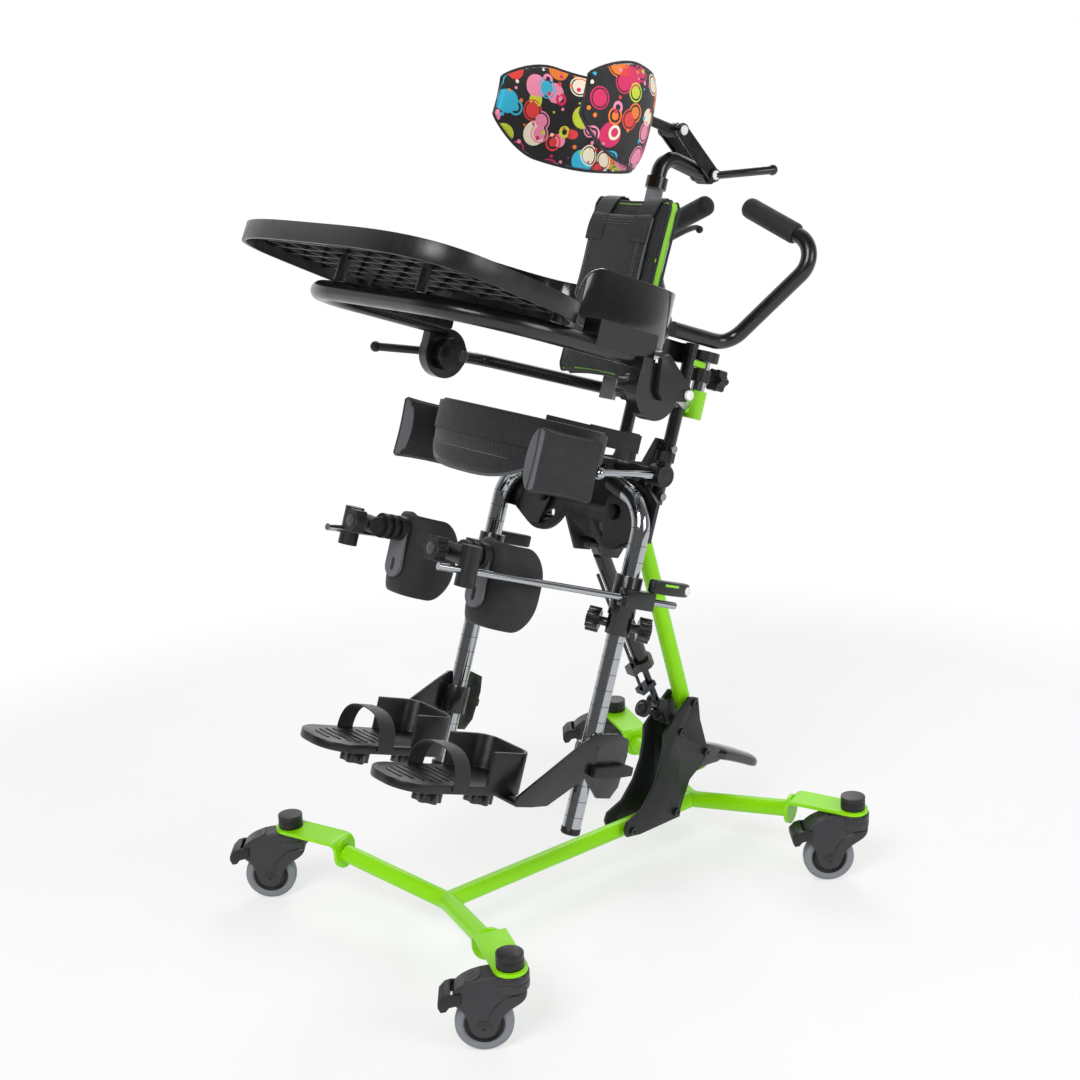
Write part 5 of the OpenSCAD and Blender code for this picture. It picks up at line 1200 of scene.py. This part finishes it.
@dataclass
class Hips:
    """The hip belt and the two hip pads on their guides."""

    block_front: float = -92.0
    pad_l: float = 110.0
    pad_h: float = 82.0
    pad_t: float = 22.0
    pad_x: float = 136.0
    pad_v: float = -326.0
    pad_w: float = -10.0
    grey_l: float = 44.0
    swell_l: float = 54.0
    swell_by: float = 20.0
    belt_half: float = 126.0
    belt_back: float = -150.0
    belt_front: float = -318.0
    belt_low: float = 22.0
    belt_h: float = 62.0
    belt_t: float = 9.0
    band_top: float = 4.0
    band_low: float = 42.0
    strap_x: float = 47.0
    strap_t: float = 0.9
    strap: Outline = ((-154.5, 66), (-56.6, 66), (-56.6, 92), (-154.5, 92))
    flap_drop: float = 30.0

    def dress(self) -> None:
        """Paints the hip guides: chromed rods in black blocks."""
        for _, k in SIDES:
            paint(CHROME, f"hip_guide_{k}", others=((NYLON, lambda p, n: p.y > self.block_front),))

    def build(self) -> None:
        """Builds the pads and the belt."""
        form = Cushion(self.pad_l, self.pad_h, self.pad_t, (0, 0, 0))
        for s, k in SIDES:
            middle = Vector((s * (self.pad_x + self.pad_t / 2), self.pad_v + self.pad_l / 2,
                             self.pad_w + self.pad_h / 2))
            stand = Matrix.Translation(middle) @ Matrix.Rotation(-s * pi / 2, 4, "Z")
            filled = plump(form.solid(), 4, 4, form.near_rim)
            filled.transform(stand)
            self.swell(filled, s, middle)
            pad = piece(filled, f"hip_cushion_{k}", FOAM, f"hip_pad_{k}",
                        stands_for=(f"hip_pad_{k}",), subdivide=1,
                        second=(GREY_FOAM, lambda p, n: n.y < -0.4 and p.y < self.pad_v + self.grey_l))
            cord = bmesh.new()
            sweep(cord, [stand @ p for p in form.rim(0, 0.2)], disc(0.8, 6), stand.to_3x3() @ ALONG, True)
            piece(cord, f"hip_cushion_seam_{k}", FOAM, f"hip_pad_{k}")
        self.belt()

    def swell(self, shape: Shape, s: int, middle: Vector) -> None:
        """Swells a pad's inner face towards its front end, where the pad is thickest.

        Args:
            shape: the pad's mesh.
            s: 1 on the left, -1 on the right.
            middle: the pad's middle.
        """
        for p in shape.verts:
            inward = min(max((middle.x - p.co.x) * s / (self.pad_t / 2), 0), 1)
            share = min(max((self.pad_v + self.swell_l - p.co.y) / self.swell_l, 0), 1)
            across = max(1 - ((p.co.z - middle.z) / (self.pad_h / 2)) ** 2, 0)
            p.co.x -= s * self.swell_by * inward * across * share ** 1.3

    def around(self, grow: float, high: float, steps: int = 96) -> list[Vector]:
        """Follows the belt round.

        Args:
            grow: how far outside the belt's middle the path runs.
            high: its height.
            steps: points round it.

        Returns:
            The path's points.
        """
        deep, middle = (self.belt_back - self.belt_front) / 2, (self.belt_back + self.belt_front) / 2
        loop = []
        for q in (tau * i / steps for i in range(steps)):
            c, d = squared(q, 2 / 2.4)
            out = Vector((cos(q) / self.belt_half, sin(q) / deep, 0)).normalized()
            wide = grow * (1 + 0.35 * max(-sin(q), 0))
            loop.append(Vector((self.belt_half * c, middle + deep * d, high)) + out * wide)
        return loop

    def belt(self) -> None:
        """Builds the padded belt, its woven band, its front pad, its piping and its two back straps."""
        ring, band, cord = bmesh.new(), bmesh.new(), bmesh.new()
        half, outer, top = self.belt_h / 2, self.belt_t / 2, self.belt_low + self.belt_h
        rings = []
        for a, b in (squared(tau * j / 14, 2 / 3) for j in range(14)):
            high = self.belt_low + half + b * half
            rings.append([ring.verts.new(p) for p in self.around(a * outer, high)])
        join(ring, rings, True)
        pad = piece(ring, "hip_belt_pad", CLOTH, "support", stands_for=("hip_belt",),
                    subdivide=1)
        high, low = top - self.band_top, top - self.band_low
        faces = [[band.verts.new(p) for p in self.around(outer + g, h)]
                 for g, h in ((0.2, high), (1.5, high), (1.5, low), (0.2, low))]
        join(band, faces, True)
        woven = piece(band, "hip_belt_band", WEB, "support")
        self.flap()
        sweep(cord, self.around(1.2, self.belt_low + 1.2), disc(2.6, 8), UP, True)
        piece(cord, "hip_belt_piping", GREY_FOAM, "support")
        for s, k in SIDES:
            strap, x = bmesh.new(), s * self.strap_x
            slab(strap, self.strap, x - self.strap_t, x + self.strap_t, ACROSS)
            ribbon = piece(strap, f"hip_belt_strap_{k}", WEB, "support")

    def flap(self) -> None:
        """Builds the belt's lower front pad with its piped edge."""
        rows, edge, pad, cord = [], [], bmesh.new(), bmesh.new()
        steps, middle, reach = 144, 108, 22
        inner, outer = (self.around(g, 0.0, steps) for g in (1.5 - self.belt_t / 2, self.belt_t / 2 - 0.6))
        top = self.belt_low + 9
        for i in range(middle - reach, middle + reach + 1):
            share = abs(i - middle) / reach
            low = self.belt_low + 3 - self.flap_drop * (1 - share ** 2.6)
            a, b = inner[i], outer[i]
            mid = (a + b) / 2
            rows.append([pad.verts.new((p.x, p.y, h)) for p, h in (
                (a, top), (a, low + 3), (mid, low), (b, low + 3), (b, top))])
            edge.append(Vector((mid.x, mid.y, low)))
        loft(pad, rows)
        flap = piece(pad, "hip_belt_front", CLOTH, "support", subdivide=1)
        sweep(cord, edge, disc(2.2, 8), UP)
        piece(cord, "hip_belt_front_piping", GREY_FOAM, "support")


@dataclass
class TrayTop:
    """The tray on its bent tube, with its clamp levers."""

    tip_at: Point = (245.6, -181.6, 151.8)
    tip: Outline = ((6.4, -3), (6.4, 0.6), (5.4, 1.6), (2.5, 2.1), (0, 2.2))

    def dress(self) -> None:
        """Paints the tray's nodes."""
        paint(SHEET, "tray", edge_mm=1.6)
        paint(BLACK, "tray_tube")
        paint(NYLON, "tray_lever_l", "tray_lever_r", edge_mm=1.2)

    def build(self) -> None:
        """Builds the left lever's white tip."""
        tip = bmesh.new()
        lathe(tip, self.tip, aim(self.tip_at, (1, 0, 0)), 24)
        piece(tip, "tray_lever_tip", WHITE, "tray_lever_l")


@dataclass
class Headrest:
    """The winged headrest on its arm and post."""

    half: float = 89.0
    depth: float = 142.0
    thick: float = 32.0
    front: float = -328.0
    low: float = 428.0
    high: float = 552.0
    power: float = 3.4
    ends: float = 0.13
    pins: Outline = ((-7.0, 474.0), (-86.0, 515.0))
    link_r: float = 10.0
    link_faces: Flat = (16.2, 18.8)
    pin_face: float = 22.0
    pin_cap: Outline = ((6.8, -1), (6.8, 0.8), (5.8, 1.8), (0, 2.2))
    bar_top: float = 430.0
    bar_back: float = -80.0

    def dress(self) -> None:
        """Paints the arm, and the post with its bare bar under the bend."""
        paint(BLACK, "headrest_arm")
        bar = (ZINC, lambda p, n: p.z < self.bar_top and p.y < self.bar_back)
        paint(BLACK, "headrest_post", others=(bar,))

    def build(self) -> None:
        """Builds the printed cushion, its bracket, the arm's links and the piping."""
        form = bent_pad(self.half, self.depth, self.thick, self.high - self.low, self.power, self.ends)
        form.transform(Matrix.Translation((0, self.front, (self.low + self.high) / 2)))
        seam = np.array(self.seam())
        filled = plump(form, 5, 6, lambda p: bool(np.linalg.norm(seam - np.array(p), axis=1).min() < 7))
        cushion = piece(filled, "headrest_cushion", DOTTED, "headrest_pad",
                        stands_for=("headrest_pad",), subdivide=1)
        piece(merged(solids("headrest_pad")[1:]), "headrest_bracket", CHARCOAL, "headrest_pad",
              smooth_deg=30)
        self.links()
        cord = bmesh.new()
        sweep(cord, self.seam(), disc(1.8, 8), Vector((0.001, 0.002, 1)), True)
        piece(cord, "headrest_piping", CLOTH, "headrest_pad")

    def links(self) -> None:
        """Builds the arm's link covers and the white caps of its pins."""
        caps, covers, r = bmesh.new(), bmesh.new(), self.link_r
        a, b = (Vector(p) for p in self.pins)
        lean = (b - a).to_3d().to_track_quat("X", "Z").to_euler().z
        turns = [lean + pi / 2 + pi * i / 12 for i in range(13)]
        outline = [(p.x + flip * r * cos(q), p.y + flip * r * sin(q)) for p, flip in ((a, 1), (b, -1))
                   for q in turns]
        for s in BOTH:
            slab(covers, outline, *sorted(s * x for x in self.link_faces), ACROSS)
            for v, w in self.pins:
                lathe(caps, self.pin_cap, aim((s * self.pin_face, v, w), (s, 0, 0)), 24)
        piece(covers, "headrest_link_covers", BLACK, "headrest_arm")
        piece(caps, "headrest_pin_caps", WHITE, "headrest_arm")

    def seam(self) -> list[Vector]:
        """Follows the cushion's edge: along the top, round a wing's end and back along the bottom.

        Returns:
            The loop's points.
        """
        upper, lower, steps = [], [], 72
        middle, rise = (self.low + self.high) / 2, (self.high - self.low) / 2 + 0.4
        for i in range(steps + 1):
            q = 0.5 - 0.5 * cos(pi * i / steps)
            x, y = half_round(q, self.half, self.depth, self.power)
            tall = end_ease(q, self.ends, 0.4) * rise
            upper.append(Vector((x, self.front + y, middle + tall)))
            lower.append(Vector((x, self.front + y, middle - tall)))
        return upper + lower[::-1]


@dataclass
class Legs:
    """Both legs with their knee and foot supports."""

    leg_x: float = 150.0
    leg_v: float = -118.0
    leg_end: float = -448.0
    block_back: float = -106.4
    block_low: float = -80.0
    stub_x: float = 101.0
    stub_back: float = -106.0
    rod_at: Point = (172.2, -118, -121)
    rod_turn: float = radians(8.5)
    rod_r: float = 5.2
    cup: tuple[float, ...] = (41, 58, 16, 112, 2.6, 0.14)
    oval_deep: float = 5.2
    oval_top: float = -122.0
    knee_x: float = 92.0
    star_face: float = -408.6
    star_w: float = -104.0
    clamp_w: float = -161.0
    clamp_r: float = 43.0
    clamp_turns: Flat = (218, 52)
    lever_x: float = 178.0
    lever_rows: Flat = (-108.6, -90.5)
    lever_plan: Outline = ((9, -102), (10, -80), (15, -40), (14, -28), (2, -26), (-4, -38), (-10, -72),
                           (-9, -102), (0, -106))
    knee_tip: Outline = ((5.6, -3), (5.6, 1.8), (4.6, 2.8), (2, 3.3), (0, 3.4))
    knee_tip_at: Point = (181, -37, -99)
    stripe_ends: tuple[Point, Point] = ((187.5, -86, -95), (186.0, -60, -95))
    foot_tip: Outline = ((4.4, -2), (4.4, 1.2), (3.6, 2.0), (1.6, 2.4), (0, 2.5))
    foot_tip_at: Point = (173.3, -56, -353.7)
    end_cap: Outline = ((12.72, 7), (13.5, 6), (13.5, -1), (12, -2.6), (0, -3))
    foot_x: float = 86.0
    sole_w: float = -394.0
    strap_v: float = -312.0
    strap_half: Flat = (51.7, 48.9)
    bars: int = 8
    bar_half: float = 33.0
    bar_gap: float = 13.0
    toe_gap: float = 20.0

    def dress(self) -> None:
        """Paints both legs' hard nodes."""
        for s, k in SIDES:
            paint(RINGED, f"leg_tube_{k}", others=(
                (BLACK, lambda p, n: p.y > self.block_back and p.z > self.block_low),
                (NYLON, lambda p, n, s=s: p.x * s < self.stub_x and p.y < self.stub_back)))
            paint(BLACK, f"knee_clamp_{k}", edge_mm=1.0)
            paint(NYLON, f"foot_lever_{k}", edge_mm=1.0)
            paint(SHEET, f"footplate_{k}", edge_mm=1.5)
            paint(BLACK, f"foot_bracket_{k}", edge_mm=0.7)
            start = Vector((s * self.rod_at[0], *self.rod_at[1:]))
            along = Vector((-s * sin(self.rod_turn), -cos(self.rod_turn), 0))
            rod = (CHROME, lambda p, n, a=start, d=along: (p - a - d * (p - a).dot(d)).length < self.rod_r)
            paint(NYLON, f"knee_rod_{k}", others=(rod,))

    def build(self) -> None:
        """Builds both knee supports and both foot supports."""
        for s, k in SIDES:
            self.knee(s, k)
            self.knee_lever(s, k)
            self.foot(s, k)

    def knee(self, s: int, k: str) -> None:
        """Builds one knee cup with its mount and knob caps.

        Args:
            s: 1 for the left, -1 for the right.
            k: the side's letter.
        """
        parts = solids(f"knee_pad_{k}")
        low, high = span(parts[0])
        form = bent_pad(*self.cup, 64, 20)
        form.transform(Matrix.Translation(((low.x + high.x) / 2, high.y, (low.z + high.z) / 2))
                       @ Matrix.Rotation(pi, 4, "Z"))
        cup = piece(form, f"knee_cup_{k}", FOAM, f"knee_pad_{k}", stands_for=(f"knee_pad_{k}",),
                    subdivide=1)
        mount = merged(parts[1:])
        oval_v = span(mount)[1].y - self.oval_deep
        piece(mount, f"knee_mount_{k}", NYLON, f"knee_pad_{k}", smooth_deg=30,
              second=(PALE, lambda p, n: p.y > oval_v and p.z < self.oval_top))
        cap, clamp = bmesh.new(), bmesh.new()
        knob_cap(cap, (s * self.knee_x, self.star_face, self.star_w), -ALONG)
        piece(cap, f"knee_knob_cap_{k}", CAP, f"knee_rod_{k}")
        for turn in self.clamp_turns:
            out = Vector((s * cos(radians(turn)), sin(radians(turn)), 0))
            knob_cap(clamp, Vector((s * self.leg_x, self.leg_v, self.clamp_w)) + out * self.clamp_r, out)
        piece(clamp, f"clamp_knob_caps_{k}", CAP, f"knee_clamp_{k}")

    def knee_lever(self, s: int, k: str) -> None:
        """Builds one knee clamp's lever with its white tip and lime stripe.

        Args:
            s: 1 for the left, -1 for the right.
            k: the side's letter.
        """
        lever, tip, stripe = bmesh.new(), bmesh.new(), bmesh.new()
        plan = [(s * (self.lever_x - x), v) for x, v in self.lever_plan]
        eased_slab(lever, smooth_loop(plan), *self.lever_rows, 3, LEVEL)
        piece(lever, f"knee_lever_grip_{k}", NYLON, f"knee_lever_{k}",
              stands_for=(f"knee_lever_{k}",))
        x, v, w = self.knee_tip_at
        lathe(tip, self.knee_tip, aim((s * x, v, w), (s, 0.17, 0)), 24)
        piece(tip, f"knee_lever_tip_{k}", WHITE, f"knee_lever_{k}")
        sweep(stripe, [Vector((s * x, v, w)) for x, v, w in self.stripe_ends],
              ((-0.9, -1.6), (0.9, -1.6), (0.9, 1.6), (-0.9, 1.6)), UP)
        piece(stripe, f"knee_lever_stripe_{k}", LIME, f"knee_lever_{k}")

    def foot(self, s: int, k: str) -> None:
        """Builds one foot strap, the tread, the leg's end cap and the lever's tip.

        Args:
            s: 1 for the left, -1 for the right.
            k: the side's letter.
        """
        strap, end, tread, tip = (bmesh.new() for _ in range(4))
        path = []
        for i in range(49):
            x, w = half_round(i / 48, *self.strap_half, 2.6)
            path.append(Vector((s * self.foot_x + x, self.strap_v, self.sole_w - 8 + w)))
        sweep(strap, path, [(b, a) for a, b in webbing(13, 0.7)], ALONG)
        ribbon = piece(strap, f"foot_webbing_{k}", WEB, f"foot_{k}",
                       stands_for=(f"foot_strap_{k}",))
        lathe(end, self.end_cap, aim((s * self.leg_x, self.leg_v, self.leg_end), UP))
        piece(end, f"leg_end_cap_{k}", NYLON, f"leg_{k}")
        toe = span(solids(f"footplate_{k}")[0])[0].y
        for i in range(self.bars):
            half = self.bar_half * (1 - 0.5 * (1 - min(i / 3, 1)) ** 2)
            place = Matrix.Translation((s * self.foot_x, toe + self.toe_gap + self.bar_gap * i, self.sole_w))
            slab(tread, rounded(half, 2.4), -0.3, 1.1, place)
        piece(tread, f"footplate_tread_{k}", SHEET, f"foot_{k}")
        x, v, w = self.foot_tip_at
        lathe(tip, self.foot_tip, aim((s * x, v, w), ALONG), 24)
        piece(tip, f"foot_lever_tip_{k}", WHITE, f"foot_lever_{k}")


@dataclass
class Studio:
    """The pale floor, the soft light and the camera at the photograph's angle."""

    eye: Point = (1.6935, -1.3686, 1.1692)
    yaw: float = radians(51.58)
    pitch: float = radians(16.28)
    roll: float = radians(-2.27)
    lens_mm: float = 53.51
    floor_half: float = 6.0
    floor_white: float = 0.6
    fade: Flat = (0.7, 1.5)
    aim_at: Point = (0, 0, 0.6)
    lamps: tuple[tuple[str, Point, float, float], ...] = (
        ("key", (1.2, -2.4, 2.8), 62, 1.4), ("fill", (2.6, 0.6, 1.6), 22, 1.2),
        ("rim", (-1.8, 1.8, 2.4), 30, 1.6))

    def floor(self) -> None:
        """Builds a pale floor that keeps the shadow and fades into the background."""
        made = bpy.data.materials.new("pale_studio_floor")
        made.use_nodes = True
        tree = made.node_tree
        tree.nodes.clear()
        at = add(tree, "ShaderNodeTexCoord").outputs["Object"]
        far = add(tree, "ShaderNodeVectorMath", {0: at}, operation="LENGTH").outputs["Value"]
        near, gone = self.fade
        fade = add(tree, "ShaderNodeMapRange", {0: far, 1: near, 2: gone, 3: 0.0, 4: 1.0}).outputs[0]
        grain = add(tree, "ShaderNodeTexNoise", {"Vector": at, "Scale": 6.0}).outputs[0]
        colour = Finish.mix(tree, grain, "#f6f6f6", "#fafafa")
        matt = add(tree, "ShaderNodeBsdfDiffuse", {0: colour})
        clear = add(tree, "ShaderNodeEmission", {0: (1, 1, 1, 1), 1: 1.0})
        ray = add(tree, "ShaderNodeLightPath").outputs
        seen = add(tree, "ShaderNodeMath", {0: ray["Is Camera Ray"], 1: ray["Is Glossy Ray"]},
                   operation="MAXIMUM").outputs[0]
        share = add(tree, "ShaderNodeMath", {0: seen, 1: self.floor_white}, operation="MULTIPLY").outputs[0]
        white = add(tree, "ShaderNodeMath", {0: fade, 1: share}, operation="MAXIMUM").outputs[0]
        mixed = add(tree, "ShaderNodeMixShader", {0: white, 1: matt.outputs[0], 2: clear.outputs[0]})
        add(tree, "ShaderNodeOutputMaterial", {0: mixed.outputs[0]})
        mesh = bpy.data.meshes.new("floor")
        h = self.floor_half
        mesh.from_pydata([(-h, -h, 0), (h, -h, 0), (h, h, 0), (-h, h, 0)], [], [(0, 1, 2, 3)])
        mesh.materials.append(made)
        plane = bpy.data.objects.new("floor", mesh)
        bpy.context.scene.collection.objects.link(plane)

    def light(self) -> None:
        """Sets a white surround, dimmer in reflections from the camera's side, and three soft lamps."""
        scene = bpy.context.scene
        world = bpy.data.worlds.new("white_studio")
        scene.world = world
        world.use_nodes = True
        tree = world.node_tree
        tree.nodes.clear()
        ray = add(tree, "ShaderNodeLightPath").outputs
        seen = add(tree, "ShaderNodeMath", {0: ray["Is Camera Ray"], 1: ray["Is Transmission Ray"]},
                   operation="MAXIMUM").outputs[0]
        way = add(tree, "ShaderNodeTexCoord").outputs["Generated"]
        behind = add(tree, "ShaderNodeVectorMath", {0: way, 1: (-sin(self.yaw), cos(self.yaw), 0)},
                     operation="DOT_PRODUCT").outputs["Value"]
        room = add(tree, "ShaderNodeMapRange", {0: behind, 1: -0.1, 2: 0.6, 3: 0.16, 4: 1.0}).outputs[0]
        share = add(tree, "ShaderNodeMapRange", {0: ray["Is Glossy Ray"], 3: 0.45, 4: room}).outputs[0]
        lit = add(tree, "ShaderNodeMapRange", {0: seen, 3: share, 4: 1.0}).outputs[0]
        sky = add(tree, "ShaderNodeBackground", {0: (1, 1, 1, 1), 1: lit})
        add(tree, "ShaderNodeOutputWorld", {0: sky.outputs[0]})
        for name, at, power, size in self.lamps:
            lamp = bpy.data.lights.new(name, "AREA")
            lamp.energy, lamp.size = power, size
            stand = bpy.data.objects.new(name, lamp)
            facing = (Vector(self.aim_at) - Vector(at)).to_track_quat("-Z", "Y")
            stand.matrix_world = Matrix.Translation(at) @ facing.to_matrix().to_4x4()
            scene.collection.objects.link(stand)
        scene.view_settings.view_transform = "Standard"

    def camera(self) -> None:
        """Stands the camera where the photograph was taken from."""
        flat = cos(self.pitch)
        ahead = Vector((-sin(self.yaw) * flat, cos(self.yaw) * flat, -sin(self.pitch)))
        right = Vector((cos(self.yaw), sin(self.yaw), 0))
        up = right.cross(ahead)
        side = right * cos(self.roll) + up * sin(self.roll)
        over = up * cos(self.roll) - right * sin(self.roll)
        lens = bpy.data.cameras.new("photo_view")
        lens.sensor_width, lens.lens, lens.clip_end = 36.0, self.lens_mm, 30.0
        made = bpy.data.objects.new("photo_view", lens)
        made.matrix_world = Matrix.Translation(self.eye) @ Matrix((side, over, -ahead)).transposed().to_4x4()
        bpy.context.scene.collection.objects.link(made)
        bpy.context.scene.camera = made

    def build(self) -> None:
        """Builds the floor, the light and the camera."""
        self.floor()
        self.light()
        self.camera()


def main() -> None:
    """Dresses the frame."""
    logging.basicConfig(level=logging.INFO, format="%(name)s: %(message)s")
    Studio().build()
    for group in (Base(), Casters(), Back(), Hips(), TrayTop(), Headrest(), Legs()):
        group.dress()
        group.build()


if __name__ == "__main__":
    main()
